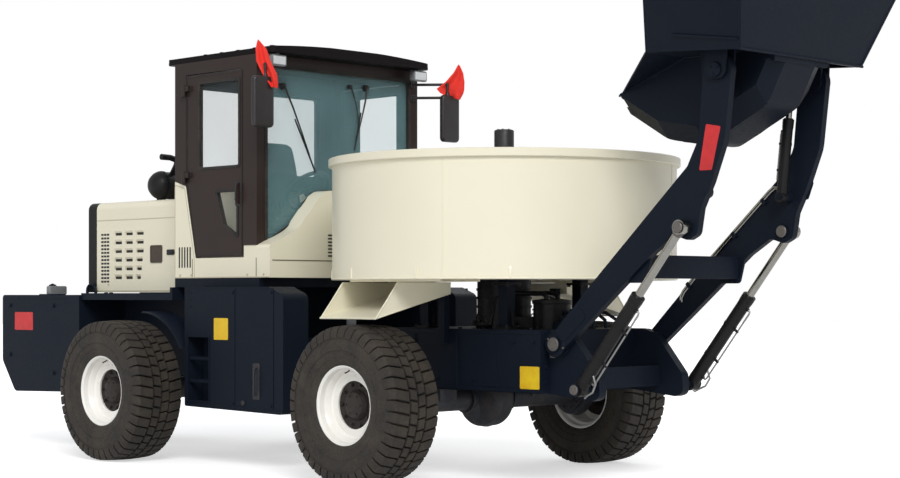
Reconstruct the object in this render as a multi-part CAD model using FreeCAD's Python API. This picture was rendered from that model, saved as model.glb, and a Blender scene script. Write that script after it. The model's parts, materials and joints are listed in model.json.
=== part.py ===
"""Self-loading concrete mixer: an articulated loader with a round flat-mouth mixing pan on its
front frame, a bucket on two lift arms ahead of the pan, and a cab and engine on its rear frame.

Millimetres.  +X forward, +Y left, +Z up.  Places along X are written from the front axle, and
the whole part is moved by FRONT_AXLE_X as it is saved, so that the origin is on the ground under
the middle of the machine.
"""
import FreeCAD, Part
import math
import os

V = FreeCAD.Vector

# ---- Running gear ----
WHEELBASE = 2764.0
TRACK = 2388.0
TYRE_R = 537.5
TYRE_HALF = 217.0
TYRE_SHOULDER_HALF = 196.0
TYRE_SHOULDER_R = 498.0
RIM_SEAT_R = 254.0
RIM_FLANGE_R = 280.0
RIM_HALF = 178.0
RIM_FLANGE = 14.0
RIM_WALL = 12.0
DISC_OFFSET = 60.0
DISC_THICK = 16.0
DISC_HOLE_R = 146.0
HUB_R = 118.0
HUB_LENGTH = 150.0
HUB_FLANGE_R = 180.0
HUB_RECESS_R = 96.0
SPINDLE_R = 45.0
SPINDLE_DEPTH = 90.0
AXLE_TUBE_R = 80.0
DIFF_R = 200.0
DIFF_HALF = 150.0
AXLE_PAD = 90.0

# ---- Fits and gaps ----
FIT = 0.08
SEAT = 0.3
GAP = 6.0

# ---- Frames ----
FRAME_UNDERSIDE = 622.0
PLATE = 30.0
PIVOT_X = -1382.0
PIVOT_PIN_R = 35.0
PIVOT_LUG_R = 110.0
TONGUE_TOP = 905.0
TONGUE_LOW = 535.0
TONGUE_WEB_HALF = 65.0
HITCH_REACH = 200.0
FRONT_TOP = 1040.0
FRONT_HALF = 550.0
FRONT_REAR_X = -650.0
FRONT_REAR_HALF = 415.0
FRONT_BEND_X = -450.0
FRONT_COVER_X = -400.0
FRONT_NOSE_X = 1020.0
REAR_RAIL_HALF = 450.0
REAR_FRONT_X = -1980.0
DECK_TOP = 1285.0
DECK_THICK = 55.0
DECK_HALF = 880.0
PLATFORM_TOP = 1400.0
PLATFORM_THICK = 70.0

# ---- Counterweight and tow hitch ----
WEIGHT_REAR_X = -4900.0
WEIGHT_FRONT_X = -3750.0
WEIGHT_HALF = 900.0
WEIGHT_TOP = 1270.0
WEIGHT_LOW = 450.0
WEIGHT_CHAMFER_X = 195.0
WEIGHT_CHAMFER_Z = 260.0
TOW_PIN_R = 25.0
TOW_EAR = 25.0
TOW_GAP = 80.0
TOW_Z = 800.0
TOW_REACH = 110.0
TOW_HALF = 60.0

# ---- Hood and engine ----
HOOD_FRONT_X = -2600.0
HOOD_REAR_X = -3930.0
GRILLE_REAR_X = -4050.0
HOOD_HALF = 600.0
HOOD_TOP = 2040.0
HOOD_WALL = 15.0
HOOD_HINGE_Y = 420.0
LOUVRE_ROWS = 6
LOUVRE_COLUMNS = 3
LOUVRE_WIDTH = 105.0
LOUVRE_HEIGHT = 42.0
LOUVRE_PITCH_X = 150.0
LOUVRE_PITCH_Z = 72.0
LOUVRE_REAR_X = -3680.0
LOUVRE_LOW_Z = 1400.0
ENGINE_HALF = 340.0
ENGINE_LOW = 800.0
ENGINE_TOP = 1900.0
ENGINE_FRONT_X = -2800.0
ENGINE_REAR_X = -3690.0
CLEANER_R = 105.0
CLEANER_HALF = 190.0
CLEANER_X = -2860.0

# ---- Cab ----
CAB_REAR_X = -2550.0
CAB_FRONT_X = -1555.0
CAB_HALF = 830.0
CAB_WALL = 50.0
CAB_FLOOR = 50.0
CAB_TOP = 3060.0
ROOF_TOP = 3139.0
ROOF_HALF = 820.0
ROOF_REAR_X = -2667.0
ROOF_FRONT_X = -1389.0
PILLAR_A_X = -1715.0
PILLAR_B_X = -2411.0
DOOR_LOW = 1552.0
DOOR_HIGH = 2965.0
DOOR_CUT_X = -2287.0
DOOR_CUT_Z = 2110.0
DOOR_THICK = 42.0
DOOR_WINDOW_LOW = 2232.0
DOOR_WINDOW_HIGH = 2898.0
DOOR_FRAME = 60.0
GLASS = 6.0
SCREEN_HALF = CAB_HALF - 85.0
SCREEN_HIGH = 2985.0
REAR_WINDOW_HALF = 620.0
NOSE_FRONT_X = -1405.0
NOSE_SIDE_Z = 1640.0
NOSE_TOP_Z = 2060.0
NOSE_WALL = 14.0
HINGE_R = 9.0
KNUCKLE_R = 17.0
KNUCKLE = 40.0
HINGE_OUT = 20.0
MIRROR_X = -1300.0
MIRROR_IN = 870.0
MIRROR_OUT = 1060.0
MIRROR_LOW = 2490.0
MIRROR_HIGH = 2865.0
MIRROR_THICK = 45.0
MIRROR_ARM_R = 11.0

# ---- Side tanks ----
TANK_REAR_X = -2205.0
TANK_FRONT_X = -1053.0
TANK_OUT = 1000.0
TANK_IN = 760.0
TANK_LOW = 410.0
LADDER_FRONT_X = -1900.0
LADDER_DEPTH = 150.0
LADDER_LOW = 470.0
LADDER_HIGH = 960.0
RUNG_R = 14.0

# ---- Mixing pan ----
PAN_X = 177.0
PAN_R = 1214.0
PAN_LOW = 1377.0
PAN_TOP = 2217.0
PAN_WALL = 16.0
PAN_FLOOR = 20.0
PAN_LIP = 26.0
PAN_LIP_HEIGHT = 46.0
PAN_SHAFT_HOLE_R = 75.0
STAND_REACH = 380.0
STAND_POST = 80.0
DRIVE_R = 190.0
DRIVE_LOW = 1060.0
DRIVE_SHAFT_R = 60.0
MOTOR_X = 630.0
MOTOR_R = 130.0
MOTOR_TOP = 1220.0
ROTOR_HUB_R = 150.0
ROTOR_HUB_TOP = 1850.0
ROTOR_CAP_R = 66.0
ROTOR_CAP_TOP = 2432.0
ROTOR_ARM_R = 32.0
ROTOR_ARM_Z = 1720.0
ROTOR_ARMS = 4
ROTOR_CLEAR = 14.0
PADDLE_HEIGHT = 150.0
PADDLE_THICK = 18.0

# ---- Discharge gates and chutes ----
CHUTE_REAR_X = -310.0
CHUTE_FRONT_X = 240.0
CHUTE_LIP_Y = 1300.0
CHUTE_LIP_Z = 1112.0
CHUTE_TOP_Y = 600.0
CHUTE_TOP_Z = 1278.0
CHUTE_WALL = 8.0
GATE_IN = 700.0
GATE_OUT = 1050.0
GATE_REAR_X = -270.0
GATE_LENGTH = 430.0
GATE_THICK = 12.0
GATE_LAP = 22.0
GATE_RAIL = 14.0
GATE_TRAVEL = 440.0

# ---- Lift arms ----
ARM_IN_Y = 480.0
ARM_THICK = 50.0
ARM_PIVOT = (1126.0, 950.0)
ARM_PIVOT_R = 35.0
ARM_ANGLE = 41.6
ARM_ROOT_R = 75.0
ARM_UP = ((0.0, 62.0), (500.0, 86.0), (1546.0, 111.0))
ARM_DOWN = ((1000.0, -105.0), (383.0, -84.0), (0.0, -70.0))
BUCKET_SHELF = 2765.0
BUCKET_PIN = (2436.0, BUCKET_SHELF - 133.0)
KNEE_FRONT = ((2490.0, BUCKET_PIN[1] - 422.0, 260.0), (2392.0, BUCKET_PIN[1] - 672.0, 160.0),
              (2312.0, 1800.0, 60.0), (2284.0, 1640.0, 50.0), (2215.0, 1606.0, 50.0),
              (2110.0, 1640.0, 60.0))
KNEE_BACK = (2292.0, BUCKET_PIN[1] - 412.0, 160.0)
BUCKET_PIN_R = 30.0
ARM_TIP_R = 104.0
CHEEK_IN = 400.0
CHEEK_OUT = 468.0
CROSSBAR_X = (1701.0, 1851.0)
CROSSBAR_Z = (1378.0, 1524.0)
LUG_PLATE = 16.0
LIFT_MID_Y = 584.0
LIFT_BASE = (1388.0, 665.0)
LIFT_EYE = (2206.0, 1685.0)
TILT_MID_Y = 400.0
TILT_EYE = (2325.0, BUCKET_SHELF - 205.0)
TILT_BASE = (TILT_EYE[0] - 70.0, TILT_EYE[1] - 655.0)

# ---- Cylinders: (barrel radius, rod radius, eye radius, eye width, barrel reach, rod length) ----
LIFT = (44.0, 27.0, 46.0, 70.0, 770.0, 830.0)
TILT = (34.0, 20.0, 36.0, 56.0, 500.0, 530.0)
STEER = (38.0, 22.0, 42.0, 78.0, 700.0, 890.0)
PIN_R = {"lift": 25.0, "tilt": 20.0, "steer": 20.0}
NECK_EXTRA = 3.0
STEER_Z = 720.0
STEER_BASE = (PIVOT_X - 550.0, 300.0)
STEER_EYE = (PIVOT_X + 620.0, 300.0)

# ---- Bucket ----
BUCKET_LOW_HALF = 666.0
BUCKET_TOP_HALF = 1005.0
BUCKET_WALL = 16.0
SPOUT_HALF = 280.0
SPOUT_BEVEL = 120.0
BUCKET_HEEL = (2690.0, BUCKET_SHELF - 40.0)
BUCKET_EDGE = (2950.0, BUCKET_SHELF + 795.0)
BUCKET_BACK_LOW = (1997.0, BUCKET_SHELF)
BUCKET_BACK_MID = (2078.0, BUCKET_SHELF + 301.0)
BUCKET_BACK_TOP = (2100.0, BUCKET_SHELF + 585.0)
SPOUT_TIP = (1460.0, BUCKET_SHELF - 310.0)
SPOUT_TIP_TOP = (1475.0, BUCKET_SHELF - 195.0)
SPOUT_BELLY = ((1775.0, BUCKET_SHELF - 495.0, 300.0), (2085.0, BUCKET_SHELF - 550.0, 200.0),
               (2540.0, BUCKET_SHELF - 325.0, 160.0))
BUCKET_CHEEK = 15.0
CHEEK_GAP = 9.0

FRONT_AXLE_X = 1030.0


# ---- Plain shapes ----
def box(x0, x1, y0, y1, z0, z1):
    return Part.makeBox(x1 - x0, y1 - y0, z1 - z0, V(x0, y0, z0))


def rod(a, b, r):
    """Round bar of radius r from point a to point b."""
    a, b = V(*a), V(*b)
    return Part.makeCylinder(r, (b - a).Length, a, b - a)


def rod_y(x, z, r, y0, y1):
    return Part.makeCylinder(r, y1 - y0, V(x, y0, z), V(0, 1, 0))


def rod_z(x, y, r, z0, z1):
    return Part.makeCylinder(r, z1 - z0, V(x, y, z0))


def mirrored(shape):
    return shape.mirror(V(0, 0, 0), V(0, 1, 0))


def joined(*shapes):
    return shapes[0].fuse(list(shapes[1:])).removeSplitter()


def both_sides(shape):
    """The shape and its mirror image, as two solids or as one where they meet."""
    return joined(shape, mirrored(shape))


def outline(points, place):
    """Closed wire through (a, b) or (a, b, corner radius) points, laid in space by place(a, b)."""
    count = len(points)
    corners = []
    for i, point in enumerate(points):
        here = V(point[0], point[1], 0)
        radius = point[2] if len(point) > 2 else 0
        back = V(points[i - 1][0], points[i - 1][1], 0) - here
        ahead = V(points[(i + 1) % count][0], points[(i + 1) % count][1], 0) - here
        back.normalize()
        ahead.normalize()
        if not radius:
            corners.append((here, None, here))
            continue
        half = back.getAngle(ahead) / 2
        reach = radius / math.tan(half)
        bisector = back + ahead
        bisector.normalize()
        middle = here + bisector * (radius / math.sin(half) - radius)
        corners.append((here + back * reach, middle, here + ahead * reach))
    edges = []
    for i, (start, middle, end) in enumerate(corners):
        if middle is not None:
            edges.append(Part.Arc(place(start.x, start.y), place(middle.x, middle.y),
                                  place(end.x, end.y)).toShape())
        following = corners[(i + 1) % count][0]
        if (following - end).Length > 1e-6:
            edges.append(Part.LineSegment(place(end.x, end.y),
                                          place(following.x, following.y)).toShape())
    return Part.Wire(edges)


def slab_xz(points, y0, y1):
    """Outline of (x, z) points, as a plate from y0 to y1."""
    face = Part.Face(outline(points, lambda a, b: V(a, y0, b)))
    return face.extrude(V(0, y1 - y0, 0))


def slab_yz(points, x0, x1):
    face = Part.Face(outline(points, lambda a, b: V(x0, a, b)))
    return face.extrude(V(x1 - x0, 0, 0))


def slab_xy(points, z0, z1):
    face = Part.Face(outline(points, lambda a, b: V(a, b, z0)))
    return face.extrude(V(0, 0, z1 - z0))


def shifted(point, along, aside, angle):
    """Point moved along a direction of the XZ plane, and to the left of it."""
    turn = math.radians(angle)
    return (point[0] + along * math.cos(turn) - aside * math.sin(turn),
            point[1] + along * math.sin(turn) + aside * math.cos(turn))


# ---- Wheels and axles ----
def spun(points, x, y, side):
    """Ring about a wheel's axis, from (outward distance, radius) points."""
    face = Part.Face(outline(points, lambda a, b: V(x, y + side * a, TYRE_R + b)))
    return face.revolve(V(x, y, TYRE_R), V(0, 1, 0), 360)


def tyre(x, side):
    y = side * TRACK / 2
    inner = RIM_SEAT_R + SEAT
    bead = RIM_HALF - RIM_FLANGE - SEAT
    return spun([(-bead, inner), (bead, inner), (bead, RIM_FLANGE_R + 12), (TYRE_HALF, 370, 60),
                 (TYRE_HALF - 6, 450, 40), (TYRE_SHOULDER_HALF, TYRE_SHOULDER_R, 30),
                 (TYRE_SHOULDER_HALF - 26, TYRE_R), (-TYRE_SHOULDER_HALF + 26, TYRE_R),
                 (-TYRE_SHOULDER_HALF, TYRE_SHOULDER_R, 30), (-TYRE_HALF + 6, 450, 40),
                 (-TYRE_HALF, 370, 60), (-bead, RIM_FLANGE_R + 12)], x, y, side)


def rim(x, side):
    """Deep-dished rim with its disc and the planetary hub that it is bolted to."""
    y = side * TRACK / 2
    bead = RIM_HALF - RIM_FLANGE
    barrel = spun([(-RIM_HALF, RIM_SEAT_R - RIM_WALL), (RIM_HALF, RIM_SEAT_R - RIM_WALL),
                   (RIM_HALF, RIM_FLANGE_R), (bead, RIM_FLANGE_R), (bead, RIM_SEAT_R),
                   (-bead, RIM_SEAT_R), (-bead, RIM_FLANGE_R), (-RIM_HALF, RIM_FLANGE_R)],
                  x, y, side)
    face = DISC_OFFSET + DISC_THICK
    disc = spun([(DISC_OFFSET, 0), (face, 0), (face, RIM_SEAT_R - RIM_WALL / 2),
                 (DISC_OFFSET, RIM_SEAT_R - RIM_WALL / 2)], x, y, side)
    disc = disc.cut(spun([(DISC_OFFSET - 1, 0), (face + 1, 0), (face + 1, DISC_HOLE_R),
                          (DISC_OFFSET - 1, DISC_HOLE_R)], x, y, side))
    inside = DISC_OFFSET - HUB_LENGTH
    hub = spun([(inside, SPINDLE_R + FIT), (inside + SPINDLE_DEPTH, SPINDLE_R + FIT),
                (inside + SPINDLE_DEPTH, 0), (DISC_OFFSET - 40, 0),
                (DISC_OFFSET - 40, HUB_RECESS_R), (DISC_OFFSET, HUB_RECESS_R),
                (DISC_OFFSET, HUB_FLANGE_R), (DISC_OFFSET - 16, HUB_FLANGE_R),
                (DISC_OFFSET - 16, HUB_R), (inside, HUB_R)], x, y, side)
    return joined(barrel, disc, hub)


def axle(x):
    """Drive axle: differential bowl, tubes with frame pads, and a spindle into each hub."""
    hub_face = TRACK / 2 + DISC_OFFSET - HUB_LENGTH
    tube_end = hub_face - GAP
    spindle_end = hub_face + SPINDLE_DEPTH - GAP
    tube = rod_y(x, TYRE_R, AXLE_TUBE_R, -tube_end, tube_end)
    flange = rod_y(x, TYRE_R, HUB_R, tube_end - 25, tube_end)
    spindle = rod_y(x, TYRE_R, SPINDLE_R, -spindle_end, spindle_end)
    face = Part.Face(outline([(-DIFF_HALF, 0), (DIFF_HALF, 0), (DIFF_HALF, AXLE_TUBE_R, 20),
                              (DIFF_HALF * 0.6, DIFF_R, 60), (-DIFF_HALF * 0.6, DIFF_R, 60),
                              (-DIFF_HALF, AXLE_TUBE_R, 20)], lambda a, b: V(x, a, TYRE_R + b)))
    bowl = face.revolve(V(x, 0, TYRE_R), V(0, 1, 0), 360)
    bowl = bowl.cut(box(x - DIFF_R, x + DIFF_R, -DIFF_HALF, DIFF_HALF, FRAME_UNDERSIDE,
                        TYRE_R + DIFF_R + 1))
    pad = box(x - AXLE_PAD, x + AXLE_PAD, REAR_RAIL_HALF - 2 * PLATE, FRONT_HALF,
              TYRE_R, FRAME_UNDERSIDE)
    return joined(tube, flange, mirrored(flange), spindle, bowl, pad, mirrored(pad))


# ---- Rear frame ----
def hitch_plate(low, end_x, half):
    """Horizontal plate from a frame's end to the articulation pin, without its hole."""
    way = 1 if end_x > PIVOT_X else -1
    tip = PIVOT_X - way * PIVOT_LUG_R
    return slab_xy([(end_x, -half), (tip, -PIVOT_LUG_R, PIVOT_LUG_R - 1),
                    (tip, PIVOT_LUG_R, PIVOT_LUG_R - 1), (end_x, half)], low, low + PLATE)


def rear_chassis():
    rail_in = REAR_RAIL_HALF - PLATE
    low, deck_low = FRAME_UNDERSIDE, DECK_TOP - DECK_THICK
    rail = box(WEIGHT_FRONT_X, REAR_FRONT_X, rail_in, REAR_RAIL_HALF, low, deck_low)
    deck = box(WEIGHT_FRONT_X, CAB_REAR_X, rail_in, DECK_HALF, deck_low, DECK_TOP)
    platform = box(CAB_REAR_X, CAB_FRONT_X + 30, -CAB_HALF, CAB_HALF,
                   PLATFORM_TOP - PLATFORM_THICK, PLATFORM_TOP)
    riser = box(CAB_REAR_X, CAB_REAR_X + PLATE, -DECK_HALF, DECK_HALF, deck_low,
                PLATFORM_TOP - PLATFORM_THICK)
    upright = box(CAB_REAR_X, REAR_FRONT_X, rail_in, REAR_RAIL_HALF, deck_low,
                  PLATFORM_TOP - PLATFORM_THICK)
    hitch_low, hitch_top = TONGUE_LOW - 5 - PLATE, TONGUE_TOP + 5
    bulkhead = box(REAR_FRONT_X - PLATE, REAR_FRONT_X, -REAR_RAIL_HALF, REAR_RAIL_HALF,
                   hitch_low, PLATFORM_TOP - PLATFORM_THICK)
    bearers = [box(x, x + 100, -rail_in, rail_in, ENGINE_LOW - 60, ENGINE_LOW)
               for x in (ENGINE_REAR_X + 150, ENGINE_FRONT_X - 250)]
    tail = box(WEIGHT_FRONT_X, WEIGHT_FRONT_X + PLATE, -rail_in, rail_in, low, deck_low)
    plates = [hitch_plate(z, REAR_FRONT_X, REAR_RAIL_HALF * 0.8) for z in (hitch_low, hitch_top)]
    web = box(REAR_FRONT_X, PIVOT_X - 260, -80, 80, hitch_low, hitch_top)
    tank_arm = box(TANK_REAR_X + 60, REAR_FRONT_X, REAR_RAIL_HALF, TANK_IN, 760, 860)
    steer_x, steer_y = STEER_BASE
    ears = [slab_xy([(REAR_FRONT_X, steer_y - 60), (steer_x + 45, steer_y - 45, 40),
                     (steer_x + 45, steer_y + 45, 40), (REAR_FRONT_X, steer_y + 60)],
                    z, z + LUG_PLATE)
            for z in (STEER_Z - STEER[3] / 2 - 5 - LUG_PLATE, STEER_Z + STEER[3] / 2 + 5)]
    pin = rod_z(steer_x, steer_y, PIN_R["steer"], ears[0].BoundBox.ZMin, ears[1].BoundBox.ZMax)
    sided = [rail, deck, upright, tank_arm, pin] + ears
    body = joined(bulkhead, platform, riser, tail, web, *bearers, *plates,
                  *sided, *[mirrored(s) for s in sided])
    return body.cut(rod_z(PIVOT_X, 0, PIVOT_PIN_R + FIT, hitch_low - 1, hitch_top + PLATE + 1))


def counterweight():
    rear, front = WEIGHT_REAR_X, WEIGHT_FRONT_X
    block = slab_xz([(rear, WEIGHT_TOP, 30), (rear, WEIGHT_LOW + WEIGHT_CHAMFER_Z, 60),
                     (rear + WEIGHT_CHAMFER_X, WEIGHT_LOW, 60), (front, WEIGHT_LOW + 25, 40),
                     (front, WEIGHT_TOP)], -WEIGHT_HALF, WEIGHT_HALF)
    ear = slab_xy([(rear + 5, -TOW_HALF), (rear + 5, TOW_HALF), (rear - TOW_REACH, TOW_HALF, 50),
                   (rear - TOW_REACH, -TOW_HALF, 50)], TOW_Z + TOW_GAP / 2,
                  TOW_Z + TOW_GAP / 2 + TOW_EAR)
    low_ear = ear.translated(V(0, 0, -TOW_GAP - TOW_EAR))
    hinges = [hood_hinge(y) for y in (-HOOD_HINGE_Y, HOOD_HINGE_Y)]
    body = joined(block, ear, low_ear, *hinges)
    return body.cut(rod_z(rear - TOW_REACH / 2, 0, TOW_PIN_R, TOW_Z - 100, TOW_Z + 100))


def engine():
    return box(ENGINE_REAR_X, ENGINE_FRONT_X, -ENGINE_HALF, ENGINE_HALF, ENGINE_LOW, ENGINE_TOP)


def hood_hinge_axis():
    return GRILLE_REAR_X + 30, WEIGHT_TOP + 50


def hood_hinge(y):
    """Pin and ears on the counterweight's top, and the knuckle cut-out beside them."""
    x, z = hood_hinge_axis()
    ears = [slab_xz([(x - 22, WEIGHT_TOP - 1), (x - 22, z + 22, 20), (x + 22, z + 22, 20),
                     (x + 22, WEIGHT_TOP - 1)], side, side + 10) for side in (y - 30, y + 20)]
    return joined(rod_y(x, z, HINGE_R, y - 30, y + 30), *ears)


def hood():
    """Engine hood: a box open below, louvred on both sides, hinged at its rear foot."""
    low = DECK_TOP + GAP
    profile = [(-HOOD_HALF, low), (HOOD_HALF, low), (HOOD_HALF, HOOD_TOP, 60),
               (-HOOD_HALF, HOOD_TOP, 60)]
    w = HOOD_WALL
    hollow = [(-HOOD_HALF + w, low - 1), (HOOD_HALF - w, low - 1),
              (HOOD_HALF - w, HOOD_TOP - w, 60 - w), (-HOOD_HALF + w, HOOD_TOP - w, 60 - w)]
    shell = slab_yz(profile, HOOD_REAR_X, HOOD_FRONT_X)
    shell = shell.cut(slab_yz(hollow, HOOD_REAR_X - 1, HOOD_FRONT_X - w))
    slots = []
    for row in range(LOUVRE_ROWS):
        for column in range(LOUVRE_COLUMNS):
            narrow = 0.12 * max(0, 3 - row) * LOUVRE_WIDTH if column == LOUVRE_COLUMNS - 1 else 0
            x = LOUVRE_REAR_X + column * LOUVRE_PITCH_X
            z = LOUVRE_LOW_Z + row * LOUVRE_PITCH_Z
            slots.append(box(x, x + LOUVRE_WIDTH - narrow, -HOOD_HALF - 1, HOOD_HALF + 1,
                             z, z + LOUVRE_HEIGHT))
    return shell.cut(Part.makeCompound(slots))


def hood_grille():
    """Black radiator surround at the hood's rear, with its screen bars and hinge feet."""
    low = DECK_TOP + GAP
    w = 40
    ring = slab_yz([(-HOOD_HALF, low), (HOOD_HALF, low), (HOOD_HALF, HOOD_TOP, 60),
                    (-HOOD_HALF, HOOD_TOP, 60)], GRILLE_REAR_X, HOOD_REAR_X)
    ring = ring.cut(box(GRILLE_REAR_X - 1, HOOD_REAR_X + 1, -HOOD_HALF + w, HOOD_HALF - w,
                        low + w, HOOD_TOP - w))
    bars = []
    count = 11
    pitch = (HOOD_TOP - low - 2 * w) / (count + 1)
    for i in range(1, count + 1):
        z = low + w + i * pitch
        bars.append(box(GRILLE_REAR_X + 20, GRILLE_REAR_X + 45, -HOOD_HALF + w - 1,
                        HOOD_HALF - w + 1, z - 12, z + 12))
    mullion = box(GRILLE_REAR_X + 25, GRILLE_REAR_X + 40, -15, 15, low + w - 1, HOOD_TOP - w + 1)
    body = joined(ring, mullion, *bars)
    x, z = hood_hinge_axis()
    for y in (-HOOD_HINGE_Y, HOOD_HINGE_Y):
        body = body.cut(box(GRILLE_REAR_X - 1, x + 60, y - 38, y + 38, low - 1, z + 60))
        eye = rod_y(x, z, KNUCKLE_R, y - 14, y + 14)
        strap = box(x, x + 70, y - 14, y + 14, z - 8, z + 8)
        body = joined(body, eye, strap).cut(rod_y(x, z, HINGE_R + FIT, y - 40, y + 40))
    return body


def air_cleaner():
    """Pre-cleaner drum lying across the hood, on its foot."""
    z = HOOD_TOP + 30 + CLEANER_R
    drum = rod_y(CLEANER_X, z, CLEANER_R, -CLEANER_HALF - 250, CLEANER_HALF - 250)
    cap = rod_y(CLEANER_X, z, CLEANER_R * 0.7, -CLEANER_HALF - 290, -CLEANER_HALF - 240)
    foot = box(CLEANER_X - 60, CLEANER_X + 60, -CLEANER_HALF - 200, CLEANER_HALF - 300,
               HOOD_TOP, z)
    return joined(drum, cap, foot)


# ---- Cab ----
def cab_shell():
    outer = box(CAB_REAR_X, CAB_FRONT_X, -CAB_HALF, CAB_HALF, PLATFORM_TOP, CAB_TOP)
    w = CAB_WALL
    inner = box(CAB_REAR_X + w, CAB_FRONT_X - w, -CAB_HALF + w, CAB_HALF - w,
                PLATFORM_TOP + CAB_FLOOR, CAB_TOP + 1)
    screen = box(CAB_FRONT_X - w - 1, CAB_FRONT_X + 1, -SCREEN_HALF, SCREEN_HALF,
                 NOSE_SIDE_Z, SCREEN_HIGH)
    rear = box(CAB_REAR_X - 1, CAB_REAR_X + w + 1, -REAR_WINDOW_HALF, REAR_WINDOW_HALF,
               DOOR_WINDOW_LOW, DOOR_WINDOW_HIGH)
    doorway = slab_xz(doorway_points(), -CAB_HALF - 1, CAB_HALF + 1)
    return outer.cut([inner, screen, rear, doorway])


def doorway_points():
    return [(DOOR_CUT_X, DOOR_LOW), (PILLAR_A_X, DOOR_LOW), (PILLAR_A_X, DOOR_HIGH),
            (PILLAR_B_X, DOOR_HIGH), (PILLAR_B_X, DOOR_CUT_Z)]


def tub_region():
    """The cab's painted lower half, up to the sloping seam behind each door."""
    return slab_xz([(CAB_REAR_X - 1, PLATFORM_TOP - 1), (PILLAR_A_X + 10, PLATFORM_TOP - 1),
                    (PILLAR_A_X + 10, DOOR_LOW + 1), (DOOR_CUT_X - 1, DOOR_LOW + 1),
                    (PILLAR_B_X - 1, DOOR_CUT_Z), (CAB_REAR_X - 1, DOOR_CUT_Z + 40)],
                   -CAB_HALF - 1, CAB_HALF + 1)


def nose_region():
    return box(PILLAR_A_X + 10, CAB_FRONT_X + 1, -CAB_HALF - 1, CAB_HALF + 1,
               PLATFORM_TOP - 1, NOSE_SIDE_Z)


def nose_profile(inset):
    """Cowl seen from ahead: low at its sides and humped in the middle."""
    side, low = CAB_HALF - inset, PLATFORM_TOP - (1 if inset else 0)
    top, shoulder = NOSE_TOP_Z - inset, NOSE_SIDE_Z - inset
    half = [(side, low), (side, shoulder, 30), (560, shoulder + 120, 200),
            (300, top, 160)]
    return half + [(-a[0],) + tuple(a[1:]) for a in reversed(half)]


def cab_nose(shell):
    outer = slab_yz(nose_profile(0), CAB_FRONT_X, NOSE_FRONT_X)
    inner = slab_yz(nose_profile(NOSE_WALL), CAB_FRONT_X - 1, NOSE_FRONT_X - NOSE_WALL)
    return joined(outer.cut(inner), shell.common(nose_region()))


def hinge_heights():
    return (DOOR_WINDOW_LOW - 60, DOOR_WINDOW_HIGH - 60)


def hinge_axis():
    return PILLAR_B_X, -CAB_HALF - HINGE_OUT


def frame_hinges():
    """Pins and feet on the right rear pillar that carry the door."""
    x, y = hinge_axis()
    parts = []
    for z in hinge_heights():
        foot = rod_z(x, y, KNUCKLE_R, z - KNUCKLE, z - SEAT)
        tie = box(x - 40, x, y - 6, -CAB_HALF, z - KNUCKLE, z - SEAT)
        parts += [foot, tie, rod_z(x, y, HINGE_R, z - KNUCKLE, z + KNUCKLE + 8)]
    return parts


def door():
    """Right door, glazed above and in its lower panel, hinged at its rear edge."""
    points = doorway_points()
    face = Part.Face(outline(points, lambda a, b: V(a, -CAB_HALF, b)))
    panel = face.makeOffset2D(-GAP).extrude(V(0, DOOR_THICK, 0))
    windows = door_windows(-CAB_HALF - 1, -CAB_HALF + DOOR_THICK + 1)
    x, y = hinge_axis()
    body = panel.cut(windows)
    for z in hinge_heights():
        knuckle = rod_z(x, y, KNUCKLE_R, z, z + KNUCKLE)
        leaf = box(x, x + 60, y - 6, -CAB_HALF, z, z + KNUCKLE)
        bore = rod_z(x, y, HINGE_R + FIT, z - 1, z + KNUCKLE + 1)
        body = joined(body, knuckle, leaf).cut(bore)
    handle = box(PILLAR_A_X - 55, PILLAR_A_X - 30, -CAB_HALF - 24, -CAB_HALF, DOOR_CUT_Z - 160,
                 DOOR_CUT_Z)
    return joined(body, handle)


def door_windows(y0, y1):
    edge = DOOR_FRAME
    upper = slab_xz([(PILLAR_B_X + edge + 100, DOOR_WINDOW_LOW, 20),
                     (PILLAR_A_X - edge + 20, DOOR_WINDOW_LOW, 20),
                     (PILLAR_A_X - edge + 20, DOOR_WINDOW_HIGH, 20),
                     (PILLAR_B_X + edge + 100, DOOR_WINDOW_HIGH, 20)], y0, y1)
    foot, head = DOOR_LOW + 148, DOOR_CUT_Z - 50
    lower = slab_xz([(PILLAR_A_X - edge, foot, 15), (PILLAR_A_X - edge, head, 15),
                     (PILLAR_A_X - 330, head, 15), (PILLAR_A_X - 240, foot + 100, 30)], y0, y1)
    return [upper, lower]


def door_glass():
    middle = -CAB_HALF + DOOR_THICK / 2
    return Part.makeCompound(door_windows(middle - GLASS / 2, middle + GLASS / 2))


def cab_glass():
    x = CAB_FRONT_X - CAB_WALL / 2
    screen = box(x - GLASS / 2, x + GLASS / 2, -SCREEN_HALF, SCREEN_HALF, NOSE_SIDE_Z, SCREEN_HIGH)
    x = CAB_REAR_X + CAB_WALL / 2
    rear = box(x - GLASS / 2, x + GLASS / 2, -REAR_WINDOW_HALF, REAR_WINDOW_HALF,
               DOOR_WINDOW_LOW, DOOR_WINDOW_HIGH)
    return Part.makeCompound([screen, rear])


def cab_roof():
    plan = [(ROOF_REAR_X, -ROOF_HALF, 40), (ROOF_FRONT_X, -ROOF_HALF, 60),
            (ROOF_FRONT_X, ROOF_HALF, 60), (ROOF_REAR_X, ROOF_HALF, 40)]
    slab = slab_xy(plan, CAB_TOP, ROOF_TOP)
    crown = slab_yz([(-ROOF_HALF - 1, CAB_TOP - 1), (ROOF_HALF + 1, CAB_TOP - 1),
                     (ROOF_HALF + 1, ROOF_TOP - 34), (0, ROOF_TOP + 34, 9000),
                     (-ROOF_HALF - 1, ROOF_TOP - 34)], ROOF_REAR_X - 1, ROOF_FRONT_X + 1)
    return slab.common(crown)


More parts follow.
